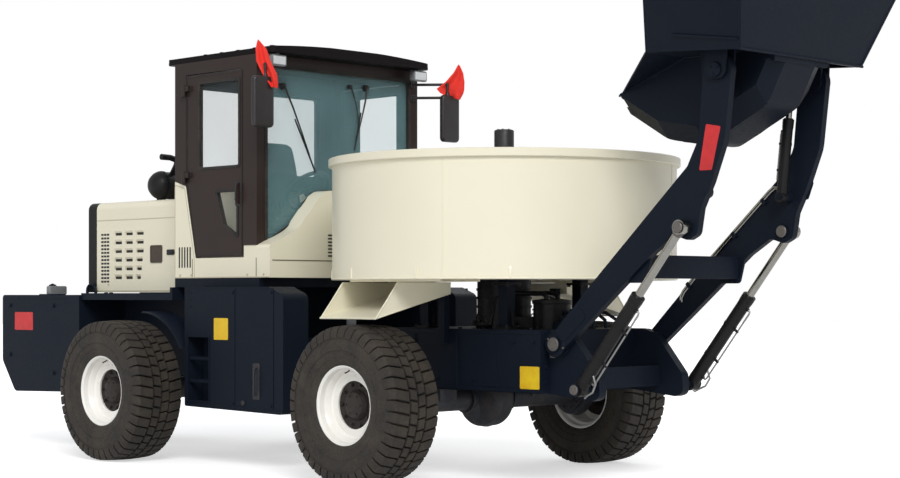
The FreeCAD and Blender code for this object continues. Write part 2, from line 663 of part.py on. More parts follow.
def seat():
    floor = PLATFORM_TOP + CAB_FLOOR
    x = CAB_REAR_X + 160
    base = box(x + 60, x + 400, -190, 190, floor, floor + 330)
    cushion = slab_xz([(x + 20, floor + 330), (x + 520, floor + 330, 30), (x + 520, floor + 440, 45),
                       (x + 20, floor + 440)], -240, 240)
    back = slab_xz([(x + 60, floor + 380), (x + 160, floor + 400), (x + 40, floor + 1050, 30),
                    (x - 60, floor + 1050, 30)], -230, 230)
    return joined(base, cushion, back)


def console():
    """Dash cowl, sloping column and steering wheel."""
    floor = PLATFORM_TOP + CAB_FLOOR
    front = CAB_FRONT_X - CAB_WALL
    dash = slab_xz([(front, floor), (front, floor + 560, 60), (front - 160, floor + 520, 60),
                    (front - 110, floor)], -260, 260)
    foot, head = (front - 100, 0, floor + 420), (front - 330, 0, floor + 640)
    column = rod(foot, head, 32)
    way = V(*head) - V(*foot)
    ring = Part.makeTorus(185, 16, V(*head), way)
    spoke = rod((head[0], -185, head[2]), (head[0], 185, head[2]), 13)
    return joined(dash, column, ring, spoke)


def mirrors():
    glass = box(MIRROR_X - MIRROR_THICK, MIRROR_X, MIRROR_IN, MIRROR_OUT, MIRROR_LOW, MIRROR_HIGH)
    arms = []
    for z in (MIRROR_HIGH - 20, MIRROR_HIGH + 85):
        root = (CAB_FRONT_X + 8, CAB_HALF - 60, z)
        knee = (MIRROR_X - MIRROR_THICK / 2, MIRROR_IN + 70, z)
        arms.append(rod(root, knee, MIRROR_ARM_R))
        arms.append(box(CAB_FRONT_X, CAB_FRONT_X + 14, CAB_HALF - 85, CAB_HALF - 35, z - 25, z + 25))
    hanger = rod_z(MIRROR_X - MIRROR_THICK / 2, MIRROR_IN + 70, MIRROR_ARM_R, MIRROR_HIGH - 60,
                   MIRROR_HIGH + 85 + MIRROR_ARM_R)
    return both_sides(joined(glass, hanger, *arms))


def lamps():
    """Work lamps under the roof's front corners and tail lamps on the counterweight."""
    lamp = box(ROOF_FRONT_X - 90, ROOF_FRONT_X - 20, ROOF_HALF - 160, ROOF_HALF - 20,
               CAB_TOP - 95, CAB_TOP - 12)
    foot = box(ROOF_FRONT_X - 70, ROOF_FRONT_X - 40, ROOF_HALF - 105, ROOF_HALF - 75,
               CAB_TOP - 20, CAB_TOP)
    tail = box(WEIGHT_REAR_X + 620, WEIGHT_REAR_X + 680, WEIGHT_HALF - 200, WEIGHT_HALF - 30,
               WEIGHT_TOP, WEIGHT_TOP + 75)
    return both_sides(Part.makeCompound([joined(lamp, foot), tail]))


# ---- Side tanks ----
def side_tanks():
    """Fuel tank on the right and oil tank on the left, each with a step recess at its rear."""
    low, top = TANK_LOW, PLATFORM_TOP - PLATFORM_THICK
    body = slab_xz([(TANK_REAR_X, low + 20, 20), (TANK_FRONT_X, low, 40),
                    (TANK_FRONT_X, top - 60, 60), (TANK_FRONT_X - 160, top, 40),
                    (TANK_REAR_X, top)], -TANK_OUT, -TANK_IN)
    recess = box(TANK_REAR_X + 40, LADDER_FRONT_X, -TANK_OUT - 1, -TANK_OUT + LADDER_DEPTH,
                 LADDER_LOW, LADDER_HIGH)
    rungs = [rod((TANK_REAR_X + 35, -TANK_OUT + 25, z), (LADDER_FRONT_X + 5, -TANK_OUT + 25, z),
                 RUNG_R) for z in (LADDER_LOW + 150, LADDER_LOW + 320)]
    return both_sides(joined(body.cut(recess), *rungs))


# ---- Front frame ----
def front_chassis():
    low, top = FRAME_UNDERSIDE, FRONT_TOP
    plate_in = FRONT_HALF - PLATE
    side = slab_xz([(FRONT_BEND_X, low), (FRONT_NOSE_X, low), (FRONT_NOSE_X, top),
                    (FRONT_COVER_X, top), (FRONT_BEND_X, top - 22)], plate_in, FRONT_HALF)
    bend = slab_xy([(FRONT_REAR_X, FRONT_REAR_HALF), (FRONT_BEND_X, FRONT_HALF),
                    (FRONT_BEND_X + PLATE, FRONT_HALF), (FRONT_BEND_X + PLATE, plate_in),
                    (FRONT_BEND_X, plate_in), (FRONT_REAR_X, FRONT_REAR_HALF - 1.25 * PLATE)],
                   low, top - 110)
    cover = box(FRONT_COVER_X, FRONT_NOSE_X, -plate_in, plate_in, top - 20, top)
    bulkhead = box(FRONT_REAR_X, FRONT_REAR_X + PLATE, -FRONT_REAR_HALF, FRONT_REAR_HALF,
                   TONGUE_LOW, top - 110)
    nose = box(FRONT_NOSE_X - PLATE, FRONT_NOSE_X, -FRONT_HALF, FRONT_HALF, low, top)
    web = box(PIVOT_X + HITCH_REACH, FRONT_REAR_X, -TONGUE_WEB_HALF, TONGUE_WEB_HALF,
              TONGUE_LOW, TONGUE_TOP)
    tongue = [hitch_plate(z, FRONT_REAR_X, FRONT_REAR_HALF)
              for z in (TONGUE_LOW, TONGUE_TOP - PLATE)]
    pin_low = rod_z(PIVOT_X, 0, PIVOT_PIN_R, TONGUE_LOW - 5 - PLATE, TONGUE_LOW + PLATE)
    pin_top = rod_z(PIVOT_X, 0, PIVOT_PIN_R, TONGUE_TOP - PLATE, TONGUE_TOP + 5 + PLATE)
    px, pz = ARM_PIVOT
    bx, bz = LIFT_BASE
    cheek = slab_xz([(FRONT_NOSE_X, low), (bx, bz - 80, 30), (bx + 70, bz - 60, 50),
                     (bx + 60, bz + 75, 50), (px + 95, pz + 60, 60), (px - 10, pz + 90, 60),
                     (FRONT_NOSE_X, top)], CHEEK_IN, CHEEK_OUT)
    arm_pin = rod_y(px, pz, ARM_PIVOT_R, CHEEK_IN, ARM_IN_Y + ARM_THICK + GAP)
    arm_cap = rod_y(px, pz, ARM_PIVOT_R + 14, ARM_IN_Y + ARM_THICK + GAP,
                    ARM_IN_Y + ARM_THICK + GAP + 10)
    lift_out = LIFT_MID_Y + LIFT[0] + GAP
    lift_pin = rod_y(bx, bz, PIN_R["lift"], CHEEK_IN, lift_out)
    lift_cap = rod_y(bx, bz, PIN_R["lift"] + 12, lift_out, lift_out + 10)
    tie = box(px + 40, px + 130, -CHEEK_IN, CHEEK_IN, low + 30, low + 170)
    bracket = box(PAN_X - 60, PAN_X, FRONT_HALF, CHUTE_TOP_Y, FRONT_TOP - 100, CHUTE_TOP_Z + 40)
    posts = [box(PAN_X + sx * STAND_REACH - STAND_POST / 2, PAN_X + sx * STAND_REACH + STAND_POST / 2,
                 STAND_REACH - STAND_POST / 2, STAND_REACH + STAND_POST / 2, top, PAN_LOW)
             for sx in (-1, 1)]
    steer_x, steer_y = STEER_EYE
    ears = [slab_xy([(FRONT_REAR_X, steer_y - 60), (steer_x - 45, steer_y - 45, 40),
                     (steer_x - 45, steer_y + 45, 40), (FRONT_REAR_X, steer_y + 60)],
                    z, z + LUG_PLATE)
            for z in (STEER_Z - STEER[3] / 2 - 8 - LUG_PLATE, STEER_Z + STEER[3] / 2 + 8)]
    sided = [side, bend, cheek, arm_pin, arm_cap, lift_pin, lift_cap, bracket] + posts + ears
    return joined(cover, bulkhead, nose, web, pin_low, pin_top, tie, *tongue, *sided,
                  *[mirrored(s) for s in sided])


def ring(x, r_in, r_out, low, high):
    """Flat ring about the pan's centre."""
    return rod_z(x, 0, r_out, low, high).cut(rod_z(x, 0, r_in, low - 1, high + 1))


def mixing_pan():
    """Round pan: floor, wall, rolled lip, foot ring, gate holes and gate rails."""
    wall = ring(PAN_X, PAN_R - PAN_WALL, PAN_R, PAN_LOW, PAN_TOP)
    floor = rod_z(PAN_X, 0, PAN_R - PAN_WALL / 2, PAN_LOW, PAN_LOW + PAN_FLOOR)
    lip = ring(PAN_X, PAN_R - PAN_WALL, PAN_R + PAN_LIP, PAN_TOP - PAN_LIP_HEIGHT, PAN_TOP)
    body = joined(wall, floor, lip)
    hole = box(GATE_REAR_X + GATE_LAP, GATE_REAR_X + GATE_LENGTH - GATE_LAP, GATE_IN + GATE_LAP,
               GATE_OUT - GATE_LAP, PAN_LOW - 1, PAN_LOW + PAN_FLOOR + 1)
    body = body.cut([rod_z(PAN_X, 0, PAN_SHAFT_HOLE_R, PAN_LOW - 1, PAN_LOW + PAN_FLOOR + 1),
                     hole, mirrored(hole)])
    drop = GATE_THICK + 2 * SEAT
    end = GATE_REAR_X + GATE_LENGTH + GATE_TRAVEL
    rails = []
    for y, way in ((GATE_IN, 1), (GATE_OUT, -1)):
        back = y - way * (SEAT + GATE_RAIL)
        edge = sorted((back, y - way * SEAT))
        hook = sorted((back, y + way * 8))
        rails.append(box(GATE_REAR_X, end, edge[0], edge[1], PAN_LOW - drop - 4, PAN_LOW))
        rails.append(box(GATE_REAR_X, end, hook[0], hook[1], PAN_LOW - drop - 4, PAN_LOW - drop))
    return joined(body, *rails, *[mirrored(r) for r in rails])


def gate():
    """Sliding discharge gate under the pan's floor, right side."""
    top = PAN_LOW - SEAT
    return box(GATE_REAR_X, GATE_REAR_X + GATE_LENGTH, -GATE_OUT, -GATE_IN, top - GATE_THICK, top)


def chutes():
    """Open trough under each gate, sloping out over the tyre."""
    low_x, high_x, w = CHUTE_REAR_X, CHUTE_FRONT_X, CHUTE_WALL
    high = PAN_LOW - GATE_THICK - 5 * SEAT - 5
    sheet = slab_yz([(CHUTE_TOP_Y, CHUTE_TOP_Z), (CHUTE_LIP_Y, CHUTE_LIP_Z),
                     (CHUTE_LIP_Y, CHUTE_LIP_Z + w), (CHUTE_TOP_Y, CHUTE_TOP_Z + w)], low_x, high_x)
    side = [(CHUTE_TOP_Y, CHUTE_TOP_Z), (CHUTE_LIP_Y, CHUTE_LIP_Z), (CHUTE_LIP_Y - 200, high),
            (CHUTE_TOP_Y, high)]
    sides = [slab_yz(side, low_x, low_x + w), slab_yz(side, high_x - w, high_x)]
    back = box(low_x, high_x, CHUTE_TOP_Y, CHUTE_TOP_Y + w, CHUTE_TOP_Z, high)
    return both_sides(joined(sheet, back, *sides))


def mixer_drive():
    """Gear case under the pan with its shaft, and the hydraulic motor beside it."""
    case = rod_z(PAN_X, 0, DRIVE_R, DRIVE_LOW, PAN_LOW)
    foot = box(PAN_X - DRIVE_R, MOTOR_X, -90, 90, FRONT_TOP, DRIVE_LOW + 60)
    motor = rod_z(MOTOR_X, 0, MOTOR_R, FRONT_TOP, MOTOR_TOP)
    shaft = rod_z(PAN_X, 0, DRIVE_SHAFT_R, PAN_LOW, ROTOR_HUB_TOP - 150)
    return joined(case, foot, motor, shaft)


def mixer_rotor():
    """Hub on the drive shaft, with paddle arms and a tall centre cap."""
    low = PAN_LOW + PAN_FLOOR + ROTOR_CLEAR
    hub = rod_z(PAN_X, 0, ROTOR_HUB_R, low, ROTOR_HUB_TOP)
    bore = rod_z(PAN_X, 0, DRIVE_SHAFT_R + FIT, low - 1, ROTOR_HUB_TOP - 150 + SEAT)
    cone = Part.makeCone(ROTOR_HUB_R, ROTOR_CAP_R, 160, V(PAN_X, 0, ROTOR_HUB_TOP))
    cap = rod_z(PAN_X, 0, ROTOR_CAP_R, ROTOR_HUB_TOP + 150, ROTOR_CAP_TOP)
    parts = [cone, cap]
    reach = PAN_R - PAN_WALL - 60
    for i in range(ROTOR_ARMS):
        radius = reach * (1 - 0.2 * (i % 2))
        arm = rod((PAN_X, 0, ROTOR_ARM_Z), (PAN_X + radius - 60, 0, ROTOR_ARM_Z), ROTOR_ARM_R)
        leg = rod((PAN_X + radius - 90, 0, ROTOR_ARM_Z), (PAN_X + radius - 90, 0, low + 60),
                  ROTOR_ARM_R * 0.8)
        blade = box(PAN_X + radius - 260, PAN_X + radius, -PADDLE_THICK / 2, PADDLE_THICK / 2,
                    low, low + PADDLE_HEIGHT)
        blade.rotate(V(PAN_X + radius - 90, 0, low), V(0, 0, 1), 25)
        piece = joined(arm, leg, blade)
        piece.rotate(V(PAN_X, 0, 0), V(0, 0, 1), 45 + i * 360 / ROTOR_ARMS)
        parts.append(piece)
    return joined(hub, *parts).cut(bore)


# ---- Lift arms ----
def boom():
    """Both lift arms, each one thick plate with a knee, joined by a crossbar."""
    inside, outside = ARM_IN_Y, ARM_IN_Y + ARM_THICK
    up = [shifted(ARM_PIVOT, along, aside, ARM_ANGLE) for along, aside in ARM_UP]
    down = [shifted(ARM_PIVOT, along, aside, ARM_ANGLE) for along, aside in ARM_DOWN]
    tip_x, tip_z = BUCKET_PIN
    beam = slab_xz(up + [KNEE_BACK, (tip_x - ARM_TIP_R, tip_z), (tip_x + ARM_TIP_R, tip_z)]
                   + list(KNEE_FRONT) + down, inside, outside)
    root = rod_y(ARM_PIVOT[0], ARM_PIVOT[1], ARM_ROOT_R, inside - GAP, outside)
    tip = rod_y(tip_x, tip_z, ARM_TIP_R, inside, outside)
    bar = box(CROSSBAR_X[0], CROSSBAR_X[1], 0, inside + 10, CROSSBAR_Z[0], CROSSBAR_Z[1])
    shoe = slab_xz([(CROSSBAR_X[0] - 60, CROSSBAR_Z[0] - 30, 30),
                    (CROSSBAR_X[1] + 10, CROSSBAR_Z[0] - 30, 30),
                    (CROSSBAR_X[1] + 80, CROSSBAR_Z[1] + 90, 30),
                    (CROSSBAR_X[0] - 30, CROSSBAR_Z[1] + 60, 30)], inside, inside + 20)
    stub = rod_y(TILT_BASE[0], TILT_BASE[1], PIN_R["tilt"],
                 TILT_MID_Y - TILT[3] / 2 - GAP, inside + 10)
    collar = rod_y(TILT_BASE[0], TILT_BASE[1], PIN_R["tilt"] + 18,
                   TILT_MID_Y + TILT[3] / 2 + GAP, inside + 10)
    boss = rod_y(LIFT_EYE[0], LIFT_EYE[1], PIN_R["lift"] + 18, inside - 16, inside)
    arm = joined(beam, root, tip, bar, shoe, stub, collar, boss)
    bores = [rod_y(ARM_PIVOT[0], ARM_PIVOT[1], ARM_PIVOT_R + FIT, inside - 20, outside + 1),
             rod_y(tip_x, tip_z, BUCKET_PIN_R + FIT, inside - 1, outside + 1)]
    return both_sides(arm.cut(bores))


# ---- Cylinders ----
def barrel(base, eye, y, sizes, pin_r):
    """Cylinder barrel with its base eye, lying in a plane of constant y."""
    barrel_r, rod_r, eye_r, width, reach, rod_length = sizes
    way = V(eye[0] - base[0], 0, eye[1] - base[1])
    way.normalize()
    start = V(base[0], y, base[1])
    body = Part.makeCylinder(barrel_r, reach - eye_r * 0.6, start + way * eye_r * 0.6, way)
    neck = Part.makeCylinder(barrel_r + NECK_EXTRA, 36, start + way * (reach - 36), way)
    ear = rod_y(base[0], base[1], eye_r, y - width / 2, y + width / 2)
    whole = joined(body, neck, ear)
    bore = Part.makeCylinder(rod_r + FIT, reach, start + way * (eye_r + 8), way)
    return whole.cut([bore, rod_y(base[0], base[1], pin_r + FIT, y - width, y + width)])


def piston_rod(base, eye, y, sizes, pin_r, pin_reach=None):
    """Rod with its eye, and with a pin that stands out by the reach given, inward and outward."""
    barrel_r, rod_r, eye_r, width, reach, rod_length = sizes
    way = V(base[0] - eye[0], 0, base[1] - eye[1])
    way.normalize()
    start = V(eye[0], y, eye[1])
    body = Part.makeCylinder(rod_r, rod_length - eye_r * 0.6, start + way * eye_r * 0.6, way)
    ear = rod_y(eye[0], eye[1], eye_r, y - width / 2, y + width / 2)
    if pin_reach is None:
        return joined(body, ear).cut(rod_y(eye[0], eye[1], pin_r, y - width, y + width))
    pin = rod_y(eye[0], eye[1], pin_r, y - width / 2 - pin_reach[0], y + width / 2 + pin_reach[1])
    return joined(body, ear, pin)


def laid_flat(shape):
    """Turns a cylinder drawn in the XZ plane about y = 0 into the level plane of the steering."""
    turned = shape.copy()
    turned.rotate(V(0, 0, 0), V(1, 0, 0), 90)
    turned.translate(V(0, 0, STEER_Z))
    return turned


# ---- Bucket ----
def spout_floor():
    """Lower line of the spout and belly, from the tip to the heel."""
    return [SPOUT_TIP, *SPOUT_BELLY, BUCKET_HEEL]


def spout_bevel(inset):
    """Corner cut off the left lower edge of the spout, following its floor line."""
    line = [point[:2] for point in spout_floor()]
    edge = SPOUT_HALF - inset
    wedges = []
    for (x0, z0), (x1, z1) in zip(line, line[1:]):
        run = V(x1 - x0, 0, z1 - z0)
        foot = V(x0, 0, z0) - run * 0.15
        corner = [foot + V(0, y, dz) for y, dz in
                  ((edge - SPOUT_BEVEL, -60 + inset), (edge + 5, -60 + inset),
                   (edge + 5, SPOUT_BEVEL + inset), (edge - SPOUT_BEVEL, inset))]
        face = Part.Face(Part.makePolygon(corner + corner[:1]))
        wedges.append(face.extrude(run * 1.3))
    return joined(*wedges)


def hopper_span(inset):
    """Space between the flared sides, inset from their outer faces, the full length in X."""
    low, high = BUCKET_LOW_HALF - inset, BUCKET_TOP_HALF - inset
    z0, z1 = BUCKET_SHELF - 60, BUCKET_EDGE[1]
    lean = (high - low) / (z1 - BUCKET_SHELF)
    foot = low - 60 * lean
    return slab_yz([(-foot, z0), (foot, z0), (high + lean, z1 + 1), (-high - lean, z1 + 1)],
                   SPOUT_TIP[0], BUCKET_EDGE[0] + 10)


def bucket():
    w, s = BUCKET_WALL, SPOUT_HALF
    wide = BUCKET_TOP_HALF + 10
    back_x = BUCKET_BACK_LOW[0]
    shape = [BUCKET_HEEL, BUCKET_EDGE, BUCKET_BACK_TOP, BUCKET_BACK_MID, BUCKET_BACK_LOW]
    sides = slab_xz(shape, -wide, wide).common(hopper_span(0)).cut(hopper_span(w))
    floor = slab_xz([BUCKET_HEEL, BUCKET_EDGE, (BUCKET_EDGE[0] - 24, BUCKET_EDGE[1] - 4),
                     (BUCKET_HEEL[0] - 20, BUCKET_SHELF + 6), (BUCKET_HEEL[0] - 30, BUCKET_HEEL[1])],
                    -wide, wide)
    back = slab_xz([BUCKET_BACK_LOW, BUCKET_BACK_MID, BUCKET_BACK_TOP,
                    (BUCKET_BACK_TOP[0] + w, BUCKET_BACK_TOP[1]),
                    (BUCKET_BACK_MID[0] + w, BUCKET_BACK_MID[1]),
                    (BUCKET_BACK_LOW[0] + w, BUCKET_BACK_LOW[1])], -wide, wide)
    plates = joined(floor, back).common(hopper_span(0))
    plates = plates.cut(box(back_x - 10, back_x + 90, -s + w, s - w, BUCKET_SHELF - 5,
                            BUCKET_SHELF + 200))
    shelf = box(back_x, BUCKET_HEEL[0] - 2, s - w, BUCKET_LOW_HALF, BUCKET_SHELF,
                BUCKET_SHELF + w)
    line = spout_floor()
    under = line + [(BUCKET_HEEL[0] - 10, BUCKET_SHELF + 4), (back_x, BUCKET_SHELF + 4),
                    SPOUT_TIP_TOP]
    outer = slab_xz(under, -s, s).cut([spout_bevel(0), mirrored(spout_bevel(0))])
    full = slab_xz(under, -s + w, s - w).cut([spout_bevel(w), mirrored(spout_bevel(w))])
    trough = outer.cut([full.translated(V(-4, 0, w)),
                        box(SPOUT_TIP[0] - 50, BUCKET_HEEL[0] + 50, -s + w, s - w,
                            BUCKET_SHELF - 60, BUCKET_SHELF + 40),
                        box(SPOUT_TIP[0] - 50, SPOUT_TIP[0] + 30, -s + w, s - w,
                            SPOUT_TIP[1] + 40, BUCKET_SHELF)])
    wing = Part.Face(Part.makePolygon([
        V(back_x, BUCKET_LOW_HALF, BUCKET_SHELF), V(back_x, s - w, BUCKET_SHELF),
        V(SPOUT_TIP_TOP[0], s - w, SPOUT_TIP_TOP[1]), V(back_x, BUCKET_LOW_HALF, BUCKET_SHELF)]))
    wing = wing.extrude(V(0, 0, w))
    px, pz = BUCKET_PIN
    ex, ez = TILT_EYE
    arm_out = ARM_IN_Y + ARM_THICK + CHEEK_GAP
    arm_in = ARM_IN_Y - CHEEK_GAP - BUCKET_CHEEK
    pin_cheek = [(px - 75, BUCKET_SHELF + 4), (px - 75, pz - 55, 55), (px + 75, pz - 55, 55),
                 (px + 85, BUCKET_SHELF + 4)]
    eye_cheek = [(ex - 70, BUCKET_SHELF + 4), (ex - 50, ez - 50, 45), (ex + 50, ez - 50, 45),
                 (ex + 120, BUCKET_SHELF + 4)]
    eye_gap = TILT[3] / 2 + 10 + CHEEK_GAP
    plates_y = [(pin_cheek, arm_in), (pin_cheek, arm_out),
                (eye_cheek, TILT_MID_Y - eye_gap - BUCKET_CHEEK), (eye_cheek, TILT_MID_Y + eye_gap)]
    lugs = [slab_xz(outline_points, y, y + BUCKET_CHEEK) for outline_points, y in plates_y]
    pin = rod_y(px, pz, BUCKET_PIN_R, arm_in, arm_out + BUCKET_CHEEK + 8)
    sided = [shelf, wing, pin] + lugs
    return joined(sides, plates, trough, *sided, *[mirrored(s) for s in sided])


# ---- Nodes ----
def build():
    shell = cab_shell()
    tub = shell.common(tub_region())
    frame = shell.cut([tub_region(), nose_region()])
    hinges = frame_hinges()
    nodes = {
        "rear_chassis": rear_chassis(),
        "rear_axle": axle(-WHEELBASE),
        "counterweight": counterweight(),
        "engine": engine(),
        "hood": hood(),
        "hood_grille": hood_grille(),
        "air_cleaner": air_cleaner(),
        "cab_tub": tub,
        "cab_frame": joined(frame, *hinges, *[mirrored(h) for h in hinges]),
        "cab_nose": cab_nose(shell),
        "cab_roof": cab_roof(),
        "cab_glass": cab_glass(),
        "seat": seat(),
        "console": console(),
        "mirrors": mirrors(),
        "lamps": lamps(),
        "side_tanks": side_tanks(),
        "front_chassis": front_chassis(),
        "front_axle": axle(0),
        "mixing_pan": mixing_pan(),
        "mixer_drive": mixer_drive(),
        "mixer_rotor": mixer_rotor(),
        "chutes": chutes(),
        "boom": boom(),
        "bucket": bucket(),
        "lift_barrels": both_sides(barrel(LIFT_BASE, LIFT_EYE, LIFT_MID_Y, LIFT, PIN_R["lift"])),
        "lift_rods": both_sides(piston_rod(LIFT_BASE, LIFT_EYE, LIFT_MID_Y, LIFT, PIN_R["lift"],
                                           (LIFT_MID_Y - LIFT[3] / 2 - ARM_IN_Y - ARM_THICK - SEAT, 10))),
        "tilt_barrels": both_sides(barrel(TILT_BASE, TILT_EYE, TILT_MID_Y, TILT, PIN_R["tilt"])),
        "tilt_rods": both_sides(piston_rod(TILT_BASE, TILT_EYE, TILT_MID_Y, TILT, PIN_R["tilt"], (10, 10))),
        "door_right": door(),
        "door_left": mirrored(door()),
        "door_glass_right": door_glass(),
        "door_glass_left": mirrored(door_glass()),
        "gate_right": gate(),
        "gate_left": mirrored(gate()),
    }
    steer_barrel = laid_flat(barrel(STEER_BASE, STEER_EYE, 0, STEER, PIN_R["steer"]))
    steer_rod = laid_flat(piston_rod(STEER_BASE, STEER_EYE, 0, STEER, PIN_R["steer"]))
    for name, shape in (("steer_barrel", steer_barrel), ("steer_rod", steer_rod)):
        right = shape if shape.BoundBox.Center.y < 0 else mirrored(shape)
        nodes[name + "_right"] = right
        nodes[name + "_left"] = mirrored(right)
    for place, x in (("front", 0.0), ("rear", -WHEELBASE)):
        for side_name, side in (("right", -1), ("left", 1)):
            nodes["tyre_%s_%s" % (place, side_name)] = tyre(x, side)
            nodes["rim_%s_%s" % (place, side_name)] = rim(x, side)
    return nodes


def save(nodes):
    os.makedirs("parts", exist_ok=True)
    for name, shape in nodes.items():
        placed = shape.translated(V(FRONT_AXLE_X, 0, 0))
        placed.exportStep("parts/%s.step" % name)
        bounds = placed.BoundBox
        print("%-18s %2d solids  valid %s  x %8.1f %8.1f  y %8.1f %8.1f  z %8.1f %8.1f" % (
            name, len(placed.Solids), placed.isValid(), bounds.XMin, bounds.XMax,
            bounds.YMin, bounds.YMax, bounds.ZMin, bounds.ZMax))


save(build())
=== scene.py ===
"""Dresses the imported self-loading concrete mixer: camera, studio, materials and detail."""
import bpy
import bmesh
import json
import math
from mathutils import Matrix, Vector


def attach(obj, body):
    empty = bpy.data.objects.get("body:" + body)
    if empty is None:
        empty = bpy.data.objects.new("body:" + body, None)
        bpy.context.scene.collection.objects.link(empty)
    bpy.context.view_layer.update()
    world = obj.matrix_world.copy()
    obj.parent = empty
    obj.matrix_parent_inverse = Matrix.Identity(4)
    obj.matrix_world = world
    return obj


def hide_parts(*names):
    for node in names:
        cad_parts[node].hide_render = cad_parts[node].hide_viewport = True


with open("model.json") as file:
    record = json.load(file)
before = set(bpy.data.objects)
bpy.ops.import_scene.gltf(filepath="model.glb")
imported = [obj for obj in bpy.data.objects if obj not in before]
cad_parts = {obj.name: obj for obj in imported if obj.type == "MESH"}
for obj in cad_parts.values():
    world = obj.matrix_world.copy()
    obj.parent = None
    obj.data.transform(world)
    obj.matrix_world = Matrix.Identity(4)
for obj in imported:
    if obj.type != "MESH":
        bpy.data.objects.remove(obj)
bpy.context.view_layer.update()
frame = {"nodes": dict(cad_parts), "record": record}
NODES = frame["nodes"]
WHITE = (1, 1, 1, 1)


# ---------------------------------------------------------------- materials
def srgb(r, g, b):
    """Colour given as 0-255 display values, as linear values with alpha 1."""
    out = []
    for value in (r, g, b):
        c = value / 255.0
        out.append(c / 12.92 if c <= 0.04045 else ((c + 0.055) / 1.055) ** 2.4)
    return (*out, 1.0)


class Tree:
    """A small builder round one node tree."""

    def __init__(self, tree):
        self.tree = tree

    def new(self, kind, **values):
        node = self.tree.nodes.new(kind)
        for key, value in values.items():
            setattr(node, key, value)
        return node

    def link(self, source, target):
        self.tree.links.new(source, target)

    def fill(self, node, values):
        """Links or sets the inputs of a node, given by name or number."""
        for key, value in values.items():
            if isinstance(value, bpy.types.NodeSocket):
                self.link(value, node.inputs[key])
            else:
                node.inputs[key].default_value = value
        return node.outputs

    def maths(self, operation, a, b):
        return self.fill(self.new("ShaderNodeMath", operation=operation), {0: a, 1: b})[0]

    def backdrop(self):
        """1 where the camera looks straight or through glass, less in a mirror, else 0."""
        seen = self.new("ShaderNodeLightPath").outputs
        through = self.maths("MAXIMUM", seen["Is Camera Ray"], seen["Is Transmission Ray"])
        mirrored = self.maths("MULTIPLY", seen["Is Glossy Ray"], 0.35)
        return self.maths("MAXIMUM", through, mirrored)


class Shader(Tree):
    """A material with one Principled shader, driven by noise in object coordinates."""

    def __init__(self, name):
        self.material = bpy.data.materials.new(name)
        self.material.use_nodes = True
        super().__init__(self.material.node_tree)
        self.bsdf = self.tree.nodes["Principled BSDF"]
        self.coords = self.new("ShaderNodeTexCoord").outputs["Object"]

    def noise(self, scale, detail=4.0, rough=0.55, stretch=None):
        source = self.coords
        if stretch:
            mapping = self.new("ShaderNodeMapping")
            source = self.fill(mapping, {"Scale": stretch, "Vector": source})["Vector"]
        return self.fill(self.new("ShaderNodeTexNoise"), {
            "Scale": scale, "Detail": detail, "Roughness": rough, "Vector": source})["Fac"]

    def ramp(self, source, *stops):
        """Source spread between two (place, value) stops; a value is grey or a colour."""
        node = self.new("ShaderNodeValToRGB")
        for element, (place, value) in zip(node.color_ramp.elements, stops):
            element.position = place
            element.color = value if isinstance(value, tuple) else (value, value, value, 1.0)
        return self.fill(node, {"Fac": source})["Color"]

    def mix(self, factor, a, b):
        node = self.new("ShaderNodeMix", data_type="RGBA")
        return self.fill(node, {0: factor, 6: a, 7: b})[2]

    def height(self, low, high):
        """0 below low and 1 above high, along the object's Z."""
        place = self.fill(self.new("ShaderNodeSeparateXYZ"), {0: self.coords})["Z"]
        return self.fill(self.new("ShaderNodeMapRange"), {
            "From Min": low, "From Max": high, "Value": place})["Result"]

    def bump(self, source, strength, distance):
        self.set(Normal=self.fill(self.new("ShaderNodeBump"), {
            "Strength": strength, "Distance": distance, "Height": source})["Normal"])

    def set(self, **values):
        self.fill(self.bsdf, {key.replace("_", " "): value for key, value in values.items()})
        return self


def paint(name, colour, grime, dust_top=0.9, rough=0.34, wear=0.10, coat=0.25, shine=0.5):
    """Sprayed enamel: slight orange peel, faint mottling, dust low down."""
    s = Shader(name)
    mottle = s.ramp(s.noise(1.7, 5.0, 0.6), (0.35, 0.0), (0.72, wear))
    tone = s.mix(mottle, srgb(*colour), srgb(*grime))
    low = s.maths("SUBTRACT", 1.0, s.height(0.25, dust_top))
    patch = s.ramp(s.noise(6.0, 8.0, 0.7), (0.42, 0.0), (0.75, 0.5))
    dusty = s.mix(s.maths("MULTIPLY", low, patch), tone, srgb(126, 116, 100))
    peel = s.ramp(s.noise(38.0, 6.0, 0.7), (0.3, rough - 0.05), (0.75, rough + 0.12))
    s.bump(s.noise(210.0, 2.0), 0.05, 0.0008)
    return s.set(Base_Color=dusty, Roughness=peel, Coat_Weight=coat, Coat_Roughness=0.12,
                 Specular_IOR_Level=shine).material


def rubber(name, colour=(36, 32, 28)):
    s = Shader(name)
    dust = s.ramp(s.noise(5.0, 8.0, 0.7), (0.4, 0.0), (0.72, 0.55))
    s.bump(s.noise(160.0, 4.0), 0.25, 0.002)
    return s.set(Base_Color=s.mix(dust, srgb(*colour), srgb(74, 64, 52)),
                 Roughness=s.ramp(s.noise(60.0), (0.3, 0.62), (0.7, 0.88))).material


def steel(name, colour, rough=0.35, metal=1.0, worn=(92, 74, 58)):
    s = Shader(name)
    spots = s.ramp(s.noise(7.0, 9.0, 0.72), (0.48, 0.0), (0.74, 0.55))
    s.bump(s.noise(90.0, 5.0), 0.12, 0.001)
    return s.set(Base_Color=s.mix(spots, srgb(*colour), srgb(*worn)), Metallic=metal,
                 Roughness=s.ramp(s.noise(26.0, 5.0), (0.3, rough), (0.75, rough + 0.2))).material


